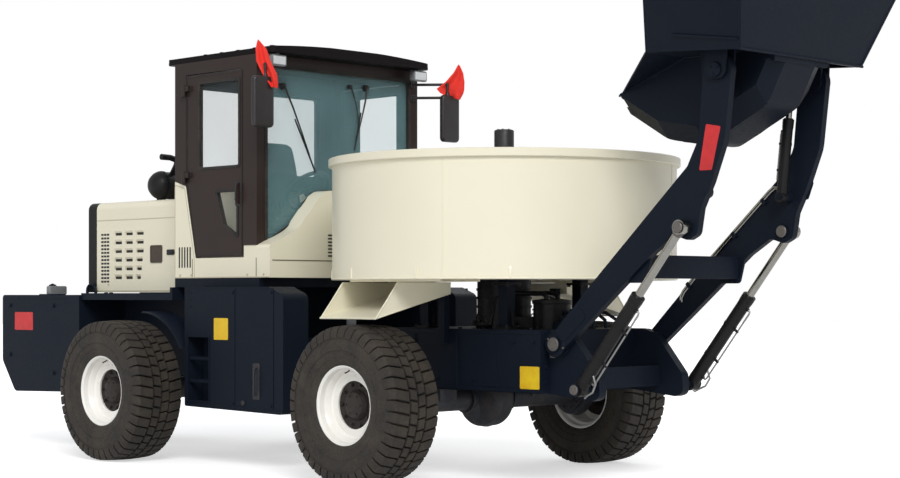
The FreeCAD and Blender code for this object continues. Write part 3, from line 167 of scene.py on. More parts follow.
def chrome(name):
    s = Shader(name)
    haze = s.ramp(s.noise(14.0, 4.0), (0.4, 0.0), (0.8, 0.4))
    ground = s.ramp(s.noise(120.0, 3.0, 0.5, (1, 1, 0.1)), (0.3, 0.10), (0.8, 0.22))
    return s.set(Base_Color=s.mix(haze, srgb(158, 156, 150), srgb(124, 120, 112)),
                 Roughness=ground, Metallic=1.0).material


def tinted_glass(name, tint, alpha):
    s = Shader(name)
    haze = s.ramp(s.noise(2.5, 3.0), (0.35, 0.0), (0.8, 0.35))
    s.set(Base_Color=s.mix(haze, srgb(*tint), srgb(92, 118, 132)),
          Roughness=s.ramp(s.noise(9.0, 5.0), (0.35, 0.03), (0.85, 0.10)),
          Alpha=alpha, IOR=1.45, Coat_Weight=0.6, Coat_Roughness=0.03)
    s.material.surface_render_method = "BLENDED"
    return s.material


def plastic(name, colour, rough=0.5):
    s = Shader(name)
    lighter = [min(255, int(c * 1.35) + 6) for c in colour]
    faded = s.ramp(s.noise(12.0, 5.0), (0.35, 0.0), (0.8, 0.4))
    s.bump(s.noise(400.0, 2.0), 0.12, 0.0006)
    return s.set(Base_Color=s.mix(faded, srgb(*colour), srgb(*lighter)),
                 Roughness=s.ramp(s.noise(45.0, 4.0), (0.3, rough), (0.8, rough + 0.15))).material


CREAM = (234, 228, 204)
CREAM_GRIME = (206, 197, 172)

M = {
    "cream": paint("cream_enamel", CREAM, CREAM_GRIME, 0.6),
    "navy": paint("navy_enamel", (18, 25, 37), (30, 34, 40), 0.42, 0.45, 0.35, 0.0, 0.1),
    "cab": paint("cab_enamel", (46, 35, 33), (58, 46, 42), 0.6, 0.36, 0.3, 0.06, 0.22),
    "black": paint("black_enamel", (20, 20, 22), (38, 37, 36), 0.5, 0.44, 0.4, 0.04, 0.2),
    "pan": paint("pan_enamel", CREAM, CREAM_GRIME, 0.6, 0.36),
    "rim": paint("rim_enamel", (240, 238, 232), (214, 208, 194), 0.3, 0.34, 0.3),
    "rotor": steel("worn_mixing_steel", (104, 98, 90), 0.5, 0.8),
    "rod": chrome("ground_chrome"),
    "tyre": rubber("tyre_rubber"),
    "hub": steel("painted_hub", (34, 27, 24), 0.55, 0.1, (60, 50, 42)),
    # dark: near-black plates laid over vent openings and slots, painted shade of the openings
    "dark": plastic("vent_opening_painted_shade", (26, 26, 27), 0.55),
    # cream_shade: a darker copy of the cream paint, painted shade along the seam strips and their
    # bolt heads
    "cream_shade": paint("cream_painted_seam_shade", (196, 188, 164), (160, 150, 124), 0.6),
    "seal": rubber("black_seal", (22, 22, 22)),
    "iron": steel("painted_iron", (44, 46, 52), 0.5, 0.3),
    "glass": tinted_glass("cab_glass", (150, 200, 206), 0.19),
    "door_glass": tinted_glass("door_glass", (176, 196, 200), 0.05),
    "roof": paint("roof_enamel", (20, 17, 18), (34, 30, 30), 0.6, 0.5, 0.3, 0.0, 0.08),
    # groove: cream paint drawn dark brown, painted shade of the grooves on the cab nose and sides
    "groove": plastic("groove_painted_shade", (96, 90, 74), 0.6),
    "seat": plastic("seat_vinyl", (30, 29, 29), 0.62),
    "plastic": plastic("moulded_black", (22, 22, 23), 0.45),
    "lamp": plastic("grey_lamp", (136, 138, 140), 0.3),
    "lamp_case": plastic("grey_lamp_case", (112, 114, 116), 0.35),
    "lens": plastic("clear_lens", (206, 210, 212), 0.08),
    "mirror_back": plastic("mirror_back", (34, 30, 30), 0.32),
    "grey_pin": steel("zinc_pin", (108, 104, 100), 0.42, 0.5, (80, 72, 64)),
    "steel_tube": steel("zinc_tube", (150, 150, 148), 0.3, 0.8, (110, 104, 96)),
    "flag": plastic("flag_cloth", (226, 46, 34), 0.75),
    "red": plastic("red_sticker", (190, 38, 40), 0.35),
    "yellow": plastic("yellow_sticker", (222, 176, 30), 0.35),
    "brown": plastic("brown_patch", (62, 50, 40), 0.5),
}

# the look of each material slot, and of the nodes that differ from their slot
SLOTS = {
    "cream_paint": "cream", "navy_paint": "navy", "cab_paint": "cab",
    "cylinder_paint": "black", "black_paint": "black", "pan_steel": "pan",
    "rotor_steel": "rotor", "rod_chrome": "rod", "tyre_rubber": "tyre", "rim_paint": "rim",
    "engine_iron": "iron", "axle_iron": "iron", "cab_glass": "glass", "seat_vinyl": "seat",
    "dark_plastic": "plastic", "lamp_plastic": "lamp",
}
NODE_LOOKS = {"door_glass_right": "door_glass", "door_glass_left": "door_glass",
              "cab_roof": "roof"}
# the material slot that each look belongs to; add does not read this table and gives no piece a
# slot
SLOT_OF = {look: slot for slot, look in SLOTS.items()}
SLOT_OF.update({
    "hub": "axle_iron", "dark": "black_paint", "brown": "black_paint", "seal": "tyre_rubber",
    "cream_shade": "cream_paint", "groove": "cream_paint", "red": "cream_paint",
    "yellow": "cream_paint", "roof": "cab_paint", "lamp_case": "lamp_plastic",
    "lens": "lamp_plastic", "mirror_back": "dark_plastic", "flag": "dark_plastic",
    "grey_pin": "rod_chrome", "steel_tube": "rod_chrome",
})

for part in frame["record"]["subparts"]:
    node = NODES[part["node"]]
    node.data.materials.clear()
    look = NODE_LOOKS.get(part["node"], SLOTS[part["material_slot"]])
    node.data.materials.append(M[look])


# ---------------------------------------------------------------- mesh tools
# All sizes are millimetres; x and y are measured from the middle of the front axle, z from
# the ground.
FRONT_AXLE_X = 1030.0           # in the frame
AHEAD, BACK, UP = (1, 0, 0), (-1, 0, 0), (0, 0, 1)
LEFT, RIGHT = (0, 1, 0), (0, -1, 0)
HANDS = ((-1, "right"), (1, "left"))    # values of Solid.side, and the word in names


def at(x, y, z):
    """Frame place, in metres, of a point."""
    return Vector(((x + FRONT_AXLE_X) / 1000.0, y / 1000.0, z / 1000.0))


def lay(axis, along, u, v, centre=(0, 0, 0)):
    """Point along an axis through centre, with u and v in the two other axes."""
    x, y, z = centre
    return {"x": (x + along, y + u, z + v), "y": (x + u, y + along, z + v),
            "z": (x + u, y + v, z + along)}[axis]


def polar(axis, along, radius, turn, centre):
    """Point at a radius and a turn about an axis through centre."""
    return lay(axis, along, radius * math.cos(turn), radius * math.sin(turn), centre)


def ring(count, radius, centre, axis, start=0.0):
    """Points evenly round a circle about an axis."""
    return [polar(axis, 0, radius, start + 2 * math.pi * k / count, centre)
            for k in range(count)]


def rounded(points, radius, steps=4):
    """Same outline with each corner rounded; radius is one number or one per corner."""
    out = []
    count = len(points)
    for i, p in enumerate(points):
        r = radius[i] if isinstance(radius, list) else radius
        p = Vector(p)
        a, b = Vector(points[i - 1]) - p, Vector(points[(i + 1) % count]) - p
        half = a.angle(b) / 2
        cut = min(r / math.tan(half), a.length * 0.49, b.length * 0.49)
        r = cut * math.tan(half)
        a.normalize()
        b.normalize()
        centre = p + (a + b).normalized() * (r / math.sin(half))
        start, end = p + a * cut - centre, p + b * cut - centre
        turn = start.angle_signed(end)
        for k in range(steps + 1):
            t = -turn * k / steps
            c, d = math.cos(t), math.sin(t)
            out.append(tuple(centre + Vector((start.x * c - start.y * d,
                                              start.x * d + start.y * c))))
    return out


def rect(a0, a1, b0, b1, corner, steps=4):
    """Rectangle with rounded corners."""
    return rounded([(a0, b0), (a1, b0), (a1, b1), (a0, b1)], corner, steps)


def inset(points, step):
    """Same closed outline moved inwards by step."""
    count = len(points)
    middle = Vector([sum(values) / count for values in zip(*points)])
    out = []
    for i, p in enumerate(points):
        p = Vector(p)
        a = (Vector(points[i - 1]) - p).normalized()
        b = (Vector(points[(i + 1) % count]) - p).normalized()
        way = (a + b).normalized()
        if way.dot(middle - p) < 0:
            way = -way
        out.append(tuple(p + way * step))
    return out


class Solid:
    """Collects closed shapes in one mesh. Solid.side is the sign that every y gets: a loop
    over -1 and 1 draws the same shapes on the right and on the left, and leaves it at 1."""
    side = 1

    def __init__(self):
        self.bm = bmesh.new()

    def skin(self, rings, loop=False):
        """Joins rings of equally many points; loop joins the last ring to the first,
        else both ends are closed."""
        made = [[self.bm.verts.new(at(x, self.side * y, z)) for x, y, z in points]
                for points in rings]
        count = len(made[0])
        pairs = list(zip(made, made[1:]))
        if loop:
            pairs.append((made[-1], made[0]))
        for a, b in pairs:
            for i in range(count):
                j = (i + 1) % count
                self.bm.faces.new((a[i], a[j], b[j], b[i]))
        if not loop:
            self.bm.faces.new(made[0][::-1])
            self.bm.faces.new(made[-1])

    def prism(self, points, axis, low, high):
        """Outline drawn in the two other axes, in X-Y-Z order, pulled along axis."""
        self.skin([[lay(axis, t, *p) for p in points] for t in (low, high)])

    def plate(self, a0, a1, b0, b1, corner, axis, low, high, steps=4):
        """Rectangle with rounded corners, pulled along axis."""
        self.prism(rect(a0, a1, b0, b1, corner, steps), axis, low, high)

    def box(self, x0, x1, y0, y1, z0, z1):
        self.prism([(x0, y0), (x1, y0), (x1, y1), (x0, y1)], "z", z0, z1)

    def rim(self, points, axis, low, high, width):
        """Flat rim of the given width inside a closed outline, pulled along axis."""
        inner = inset(points, width * 1.2)
        self.skin([[lay(axis, low, *p), lay(axis, high, *p), lay(axis, high, *q),
                    lay(axis, low, *q)] for p, q in zip(points, inner)], loop=True)

    def dome(self, points, axis, low, high, radius):
        """Pad with its outer rim rounded off towards high."""
        way = radius if high > low else -radius
        rings = [[lay(axis, low, *p) for p in points]]
        for k in range(5):
            t = math.pi / 8 * k
            level = high - way * (1 - math.sin(t))
            line = inset(points, radius * (1 - math.cos(t)) + 0.01)
            rings.append([lay(axis, level, *p) for p in line])
        self.skin(rings)

    def tube(self, path, radius, sides=10, loop=False):
        """Round bar along a path; radius may be one number or one for each point."""
        points = [Vector((x, self.side * y, z)) for x, y, z in path]
        last = len(points) - 1
        radii = radius if isinstance(radius, list) else [radius] * len(points)
        rings, up = [], None
        for i, p in enumerate(points):
            if loop:
                way = points[(i + 1) % len(points)] - points[i - 1]
            else:
                way = points[min(i + 1, last)] - points[max(i - 1, 0)]
            way.normalize()
            if up is None:
                up = way.orthogonal().normalized()
            up = (up - way * up.dot(way)).normalized()
            other = way.cross(up)
            turns = (2 * math.pi * k / sides for k in range(sides))
            rings.append([p + (up * math.cos(t) + other * math.sin(t)) * radii[i]
                          for t in turns])
            for q in rings[-1]:
                q.y *= self.side
        self.skin(rings, loop)

    def disc(self, centre, way, r0, r1, length, sides=24):
        """Cylinder or cone frustum from centre along way; six sides make a bolt head."""
        end = Vector(centre) + Vector(way).normalized() * length
        self.tube([centre, end], [r0, r1], sides)

    def lathe(self, profile, centre, axis, steps):
        """Closed profile of (along, radius) spun about axis through centre."""
        self.skin([[polar(axis, along, r, 2 * math.pi * k / steps, centre)
                    for along, r in profile] for k in range(steps)], loop=True)


def into_scene(name, data):
    """New object with the given data, linked to the scene."""
    made = bpy.data.objects.new(name, data)
    bpy.context.scene.collection.objects.link(made)
    return made


def piece_from(name, bm, material):
    """Smooth-shaded object made of a bmesh."""
    mesh = bpy.data.meshes.new(name)
    bm.to_mesh(mesh)
    bm.free()
    for polygon in mesh.polygons:
        polygon.use_smooth = True
    mesh.materials.append(M[material])
    return into_scene(name, mesh)


def add(name, solid, material, body, bevel=0.0, smooth=35, replaces=()):
    """Puts a solid on a body; bevel is in millimetres, smooth in degrees."""
    bmesh.ops.recalc_face_normals(solid.bm, faces=solid.bm.faces[:])
    piece = piece_from(name, solid.bm, material)
    piece.data.set_sharp_from_angle(angle=math.radians(smooth))
    if bevel:
        edge = piece.modifiers.new("edge", "BEVEL")
        edge.width = bevel / 1000.0
        edge.segments = 2
        edge.limit_method = "ANGLE"
        edge.angle_limit = math.radians(30)
        edge.harden_normals = True
    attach(piece, body)
    if replaces:
        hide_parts(*replaces)
    return piece


# ---------------------------------------------------------------- wheels
REAR_X = -2764.0        # rear axle
AXLE_Z = TYRE_R = 537.5
TRACK_HALF = 1194.0
LUG_ROWS = 42


def crown(offset):
    """Radius of the tread at an offset from its middle."""
    return TYRE_R - 0.2 - 9.0 * (abs(offset) / 196.0) ** 2.2


def tyre_piece(key, centre):
    s = Solid()
    half = [(0, 508), (70, 507), (150, 503), (182, 496), (200, 476), (208, 452), (206, 448),
            (212, 430), (215, 400), (214, 372), (210, 368), (211, 352), (203, 322), (199, 318),
            (196, 300), (186, 280), (176, 266), (166, 256)]
    s.lathe([(-a, r) for a, r in half[:0:-1]] + half, centre, "y", 96)
    step = 2 * math.pi / LUG_ROWS
    shoulder = [(76, 498), (80, crown(80)), (140, crown(140)), (188, crown(188)), (204, 508),
                (214, 470), (212, 452), (196, 470), (170, 490)]
    for low, high, shift in ((-68, -5, 0.0), (5, 68, 0.5), (76, 197, 0.25), (-197, -76, 0.75)):
        sign = 1 if high > 0 else -1
        middle = (low + high) / 2
        edge = [(low, 498), (low + 4, crown(low)), (middle, crown(middle)),
                (high - 4, crown(high)), (high, 498)]
        if abs(middle) > 100:
            edge = [(a * sign, r) for a, r in shoulder]
        for k in range(LUG_ROWS):
            a0, a1 = (k + shift + 0.08) * step, (k + shift + 0.92) * step
            s.skin([[polar("y", a, r - (sink if r > 500 else 0),
                           t + 0.075 * sign * (a / 196.0), centre) for a, r in edge]
                    for t, sink in ((a0, 5), (a0 + 0.01, 0), (a1 - 0.01, 0), (a1, 5))])
    for k in range(60):
        for sign in (-1, 1):
            s.skin([[polar("y", sign * a, r, k * math.pi / 30 + d, centre)
                     for a, r in ((205, 352), (212.5, 356), (215, 394), (208, 400))]
                    for d in (-0.006, 0.006)])
    add("tyre_%s_lugged" % key, s, "tyre", "wheel_" + key, smooth=30, replaces=("tyre_" + key,))


def rim_piece(key, centre):
    """White deep-dished rim, the dark planetary hub seen through its disc, and the valve."""
    def off(x, y, z):
        """Point measured from the middle of the wheel, y outwards."""
        return (centre[0] + x, centre[1] + y, centre[2] + z)

    s = Solid()
    s.lathe([(178, 279), (176, 281), (166, 281), (163, 276), (160, 256), (120, 253),
             (104, 236), (-104, 236), (-120, 253), (-160, 256), (-163, 276), (-166, 281),
             (-177, 281), (-178, 262), (-168, 250), (-126, 244), (-108, 226), (60, 226),
             (60, 163), (64, 162), (76, 162), (76, 208), (84, 222), (108, 229), (128, 244),
             (166, 248), (176, 260)], centre, "y", 96)
    for spot in ring(5, 190, off(0, 74, 0), "y", 0.3):
        s.disc(spot, LEFT, 13, 11, 5, 20)
    add("rim_%s_dished" % key, s, "rim", "wheel_" + key, smooth=28, replaces=("rim_" + key,))
    s = Solid()
    s.lathe([(-88, 46), (-88, 110), (20, 118), (42, 162), (44, 178), (58, 178), (59, 158),
             (46, 122), (44, 104), (62, 96), (70, 90), (84, 84), (90, 60), (92, 20), (92, 1),
             (-20, 1), (-20, 46)], centre, "y", 64)
    for spot in ring(10, 140, off(0, 48, 0), "y"):
        s.disc(spot, LEFT, 13, 12, 16, 6)
        s.disc(spot, LEFT, 8, 8, 24, 10)
    for spot in ring(6, 66, off(0, 84, 0), "y"):
        s.disc(spot, LEFT, 8, 7, 10, 6)
    add("hub_" + key, s, "hub", "wheel_" + key, smooth=28)
    s = Solid()
    s.tube([off(0, 120, 232), off(0, 140, 222), off(0, 160, 216)], [4.5, 4.5, 5.5])
    add("valve_" + key, s, "seal", "wheel_" + key)


for place, axle_x in (("front", 0.0), ("rear", REAR_X)):
    for Solid.side, hand in HANDS:
        tyre_piece(place + "_" + hand, (axle_x, TRACK_HALF, AXLE_Z))
        rim_piece(place + "_" + hand, (axle_x, TRACK_HALF, AXLE_Z))


# ---------------------------------------------------------------- hood
HOOD_SIDE = 598         # side face
HOOD_ENDS = (-3925, -2606)


def hood_detail():
    blades, vents, panels, latch, seam, s = (Solid() for _ in range(6))
    for Solid.side in (-1, 1):
        for row in range(6):
            for column in range(3):
                x0, z0 = -3680 + column * 150, 1400 + row * 72
                x1 = x0 + 105 - (12.6 * max(0, 3 - row) if column == 2 else 0)
                blades.skin([[(x, HOOD_SIDE, z0 + 42), (x, 603, z0 + 42), (x, 603, z0 + 38),
                              (x, 592, z0 + 22), (x, 588, z0 + 24)] for x in (x0, x1)])
        for k in range(14):
            z = 1372 + k * 30
            for x in (-3868, -3828, -3788):
                vents.plate(x, x + 34, z, z + 17, 4, "y", 598.5, 600.6, 2)
        # dark sheet behind the louvre blades: painted shade of the space behind them
        vents.box(-3735, -3130, 578, 584, 1375, 1815)
        panels.plate(-3172, -3030, 1538, 1664, 12, "y", HOOD_SIDE, 604)
        panels.rim(rect(-3180, -3022, 1530, 1672, 16), "y", HOOD_SIDE, 607, 9)
        latch.plate(-2960, -2860, 1590, 1634, 10, "y", HOOD_SIDE, 606)
        latch.disc((-2892, 604, 1612), LEFT, 15, 13, 8)
        latch.plate(-2950, -2906, 1602, 1622, 6, "y", 605, 613)
        seam.box(*HOOD_ENDS, 599, 602.5, 1887, 1893)
        seam.box(*HOOD_ENDS, 598.5, 601.6, 1297, 1308)
        for x in (-3760, -2770):
            seam.disc((x, 600, 1360), LEFT, 9, 8, 7, 6)
    add("hood_louvre_blades", blades, "cream", "hood")
    # vent plates in the dark look: painted shade of the vent openings
    add("hood_side_vents", vents, "dark", "hood")
    add("hood_side_panels", panels, "brown", "hood", bevel=1.0)
    add("hood_latches", latch, "plastic", "hood", bevel=1.2)
    # hood seam strips in the darker cream: painted shade along the panel joints
    add("hood_seams", seam, "cream_shade", "hood")
    # grab rail, silencer and its tail pipe
    s.tube([(-3780, 250, 2034), (-3780, 250, 2068), (-3760, 250, 2084), (-3530, 250, 2084),
            (-3510, 250, 2068), (-3510, 250, 2034)], 9)
    for x in (-3780, -3510):
        s.disc((x, 250, 2038), UP, 22, 20, 6, 20)
    s.lathe([(-130, 2), (-128, 40), (-112, 78), (-80, 104), (-62, 112), (-50, 116), (-40, 112),
             (250, 112), (262, 116), (274, 112), (330, 108), (352, 84), (360, 40), (362, 2)],
            (-3330, -352, 2172), "y", 48)
    for y in (-380, -150):
        s.box(-3380, -3280, y - 12, y + 12, 2036, 2100)
        s.lathe([(-11, 108), (-11, 118), (11, 118), (11, 108)], (-3330, y, 2172), "y", 40)
    s.tube([(-3300, -300, 2250), (-3230, -300, 2340), (-3190, -330, 2376),
            (-3186, -400, 2392), (-3186, -490, 2394)], [26, 26, 25, 24, 25], 16)
    add("hood_rails_and_exhaust", s, "black", "hood", bevel=0.8)


def cleaner_detail():
    s = Solid()
    x, z = -2860, 2175
    for y in (-420, -330, -250, -120):
        s.lathe([(-9, 105), (-6, 109), (6, 109), (9, 105)], (x, y, z), "y", 48)
    for spot in ring(26, 74, (x, -531, z), "y"):
        s.disc(spot, RIGHT, 5, 4, 9, 6)
    s.tube([(x, -470, z), (x, -545, z)], [30, 24], 20)
    s.disc((x, -541, z), RIGHT, 24, 10, 9)
    add("air_cleaner_bands", s, "black", "hood", bevel=0.8)
    s = Solid()
    s.tube([(-2740, -505, 2036), (-2740, -505, 2290)], 22, 20)
    s.lathe([(0, 22), (0, 74), (14, 78), (44, 70), (58, 30), (60, 2), (-4, 2)],
            (-2740, -505, 2290), "z", 40)
    s.disc((-2740, -505, 2039), UP, 40, 34, 9)
    add("intake_stack", s, "black", "hood", bevel=0.8)


hood_detail()
cleaner_detail()


# ---------------------------------------------------------------- cab
CAB_SIDE = 829          # side face
MIRROR_X = -1322.5      # mirror stems
CAB_FLOOR = 1450


def door_pieces(hand):
    s = Solid()
    upper = rect(-2251, -1755, 2232, 2898, 24)
    lower = rounded([(-1775, 1700), (-1775, 2060), (-2045, 2060), (-1955, 1800)],
                    [15, 15, 15, 30])
    for line in (upper, lower):
        s.rim(inset(line, -7), "y", 813, 834.5, 18)
    s.rim(rounded([(-2290, 1566), (-1729, 1566), (-1729, 2951), (-2397, 2951),
                   (-2397, 2112)], [24, 24, 24, 24, 60]), "y", 828, 832.5, 7)
    add("door_seals_" + hand, s, "seal", "door_" + hand, bevel=1.5)
    s = Solid()
    s.dome(rect(-1806, -1733, 1935, 2125, 16), "y", CAB_SIDE, 836, 5)
    s.tube([(-1757, y, z) for y, z in ((836, 2102), (860, 2094), (866, 2070), (866, 1990),
                                       (860, 1966), (836, 1958))], 8, 12)
    s.disc((-1787, 834, 1990), LEFT, 14, 12, 10)
    s.disc((-1787, 844, 1990), LEFT, 9, 9, 4, 6)
    for z in (2172, 2838):
        s.dome(rect(-2400, -2340, z + 4, z + 36, 7), "y", CAB_SIDE, 837, 3)
        for x in (-2385, -2355):
            s.disc((x, 837, z + 20), LEFT, 6, 5, 5, 6)
    s.tube([(x, y, 2200) for x, y in ((-1800, 784), (-1800, 755), (-2200, 755), (-2200, 784))],
           10, 12)
    add("door_fittings_" + hand, s, "plastic", "door_" + hand, bevel=0.8)


def window_pieces():
    s = Solid()
    s.rim(inset(rect(-745, 745, 1650, 2985, 36), -8), "x", -1583, -1549.5, 22)
    s.rim(inset(rect(-620, 620, 2232, 2898, 40), -8), "x", -2521, -2553, 20)
    hump = [(-760, 1646), (-700, 1690), (-620, 1738), (-520, 1795), (-440, 1880),
            (-370, 1975), (-300, 2040), (-200, 2062), (0, 2066)]
    s.tube([(-1551, y, z) for y, z in hump + [(-y, z) for y, z in hump[-2::-1]]], 9)
    add("window_seals", s, "seal", "rear_frame", bevel=1.5)
    s = Solid()
    for foot, tip, blade in (((-572, 2839), (-243, 2208), 0.62),
                             ((275, 2889), (159, 2398), 0.6)):
        def on(x, t):
            return (x, *Vector(foot).lerp(Vector(tip), t))

        s.disc(on(-1578, 0), AHEAD, 26, 22, 32, 28)
        s.disc(on(-1546, 0), AHEAD, 15, 10, 12, 20)
        s.tube([on(-1542, 0), on(-1540, 0.25), on(-1548, 0.55), on(-1560, 0.8)], [8, 7, 5, 4.5])
        s.tube([on(-1566, 1 - blade), on(-1564, 1 - blade / 2), on(-1566, 1)], [4, 6, 4], 8)
        way = (Vector(tip) - Vector(foot)).normalized() * 2.5
        s.skin([[(x, y - way.y * k, z + way.x * k) for x, k in
                 ((-1564, -1), (-1564, 1), (-1576, 0.6), (-1576, -0.6))]
                for _, y, z in (on(0, 1 - blade), on(0, 1))])
    s.tube([(-1546, 106, 2884), (-1541, 150, 2760), (-1552, 196, 2615)], [6, 5, 4], 8)
    s.disc((-1578, 106, 2884), AHEAD, 18, 16, 32)
    add("wipers", s, "plastic", "rear_frame")


def cab_panels():
    seam, groove, vent, roof = (Solid() for _ in range(4))
    groove.box(-1407, -1402, -806, 806, 1525, 1532)
    for k in range(7):
        vent.plate(-260, 260, 1560 + k * 26, 1572 + k * 26, 5, "x", -1406, -1401, 2)
    for Solid.side in (-1, 1):
        seam.rim(rounded([(-2550, 1402), (-2300, 1402), (-2300, 1540), (-2425, 2095),
                          (-2550, 2128)], 14), "y", CAB_SIDE, 832.4, 5)
        seam.box(-1700, -1560, CAB_SIDE, 832.4, 1636, 1641)
        seam.box(-2548, -1410, 828, 833, 1400, 1409)
        for x in (-2480, -2340, -1660, -1470):
            seam.disc((x, 830, 1424), LEFT, 9, 8, 7, 6)
        for x in (-2330, -1560):
            groove.box(x - 3, x + 3, CAB_SIDE, 832, 1410, 1548)
        for x in range(-2500, -2350, 34):
            vent.plate(x, x + 14, 1480, 1640, 6, "y", CAB_SIDE, 832, 3)
    seam.box(-1407, -1402, -4, 4, 1504, 2040)
    # strips in the groove colour laid on the cream panels: painted shade of the grooves
    add("cab_grooves", groove, "groove", "rear_frame")
    # cab seam strips in the darker cream: painted shade along the panel joints
    add("cab_panel_seams", seam, "cream_shade", "rear_frame")
    # vent plates in the dark look: painted shade of the vent openings
    add("cab_vents", vent, "dark", "rear_frame")
    plan = rounded([(-2667, -820), (-1389, -820), (-1389, 820), (-2667, 820)],
                   [40, 60, 60, 40], 6)
    roof.rim(inset(plan, -1.5), "z", 3062, 3080, 12)
    for x in (-2420, -2220, -2020, -1820, -1620):
        roof.prism([(x - 22, 3137), (x - 14, 3146), (x + 14, 3146), (x + 22, 3137)], "y",
                   -640, 640)
    roof.dome(rect(-2260, -1860, -240, 240, 50), "z", 3130, 3158, 14)
    add("roof_edge_and_hatch", roof, "roof", "rear_frame", bevel=1.2)


def mirror_and_lamps():
    s, glass, lamp, lens, tail = (Solid() for _ in range(5))
    for Solid.side in (-1, 1):
        pad = rect(870, 1060, 2490, 2865, 34, 6)
        s.dome(pad, "x", -1330, -1300, 18)
        s.dome(pad, "x", -1325, -1343, 8)
        glass.prism(inset(pad, 13), "x", -1341, -1345)
        for z in (2845, 2950):
            s.tube([(x, y, z) for x, y in ((-1547, 770), (-1520, 785), (-1360, 925),
                                           (MIRROR_X, 940))], 11, 14)
            s.dome(rect(745, 795, z - 26, z + 26, 8), "x", -1556, -1541, 4)
            for dz in (-16, 16):
                s.disc((-1542, 770, z + dz), AHEAD, 6, 5, 5, 6)
        s.tube([(MIRROR_X, 940, 2800), (MIRROR_X, 940, 2961)], 11, 14)
        s.disc((MIRROR_X, 940, 2856), UP, 19, 16, 26, 20)
        line = rect(660, 800, 2965, 3048, 16, 5)
        lamp.dome(line, "x", -1440, -1412, 5)
        lamp.dome(inset(line, 4), "x", -1435, -1479, 16)
        for y in range(676, 777, 20):
            lamp.box(-1475, -1440, y, y + 5, 3046, 3052)
        lamp.box(-1459, -1429, 715, 745, 3040, 3060)
        lens.dome(inset(line, 11), "x", -1414, -1409, 3)
        line = rect(700, 870, 1272, 1345, 14, 5)
        lamp.dome(line, "x", -4250, -4222, 6)
        lamp.dome(line, "x", -4240, -4276, 6)
        tail.dome(inset(line, 9), "x", -4274, -4280, 4)
    add("mirror_housings", s, "mirror_back", "rear_frame", smooth=40, replaces=("mirrors",))
    add("mirror_glasses", glass, "rod", "rear_frame")
    add("lamp_housings", lamp, "lamp_case", "rear_frame", smooth=40, replaces=("lamps",))
    add("work_lamp_lenses", lens, "lens", "rear_frame", smooth=40)
    add("tail_lamp_lenses", tail, "red", "rear_frame", smooth=40)


def seat_pad(name, corners, rows, bulge, tuck):
    """Rounded pad in the box whose eight corners are given, low ring then high ring, with
    rows of quilting across its length."""
    low, high = [Vector(c) for c in corners[:4]], [Vector(c) for c in corners[4:]]
    up = (high[0] - low[0]).normalized()
    count, around = 24, 36
    rings = []
    for i in range(count + 1):
        u = i / count
        end = 0.72 + 0.28 * (math.sin(math.pi * u) ** 0.22 if 0 < u < 1 else 0.0)
        points = []
        for j in range(around):
            t = 2 * math.pi * j / around
            c, d = math.cos(t), math.sin(t)
            v = 0.5 + 0.5 * math.copysign(abs(c) ** 0.32, c) * end
            w = 0.5 + 0.5 * math.copysign(abs(d) ** 0.42, d) * end
            a, b = (box[0].lerp(box[1], u).lerp(box[3].lerp(box[2], u), v)
                    for box in (low, high))
            lift = bulge * max(0.0, d) * (1 - (2 * v - 1) ** 2)
            dip = tuck * max(0.0, d) * (0.5 + 0.5 * math.cos(2 * math.pi * rows * u)) ** 6
            points.append(tuple(a.lerp(b, w) + up * (lift - dip)))
        rings.append(points)
    s = Solid()
    s.skin(rings)
    pad = add(name, s, "seat", "rear_frame", smooth=60, replaces=("seat",))


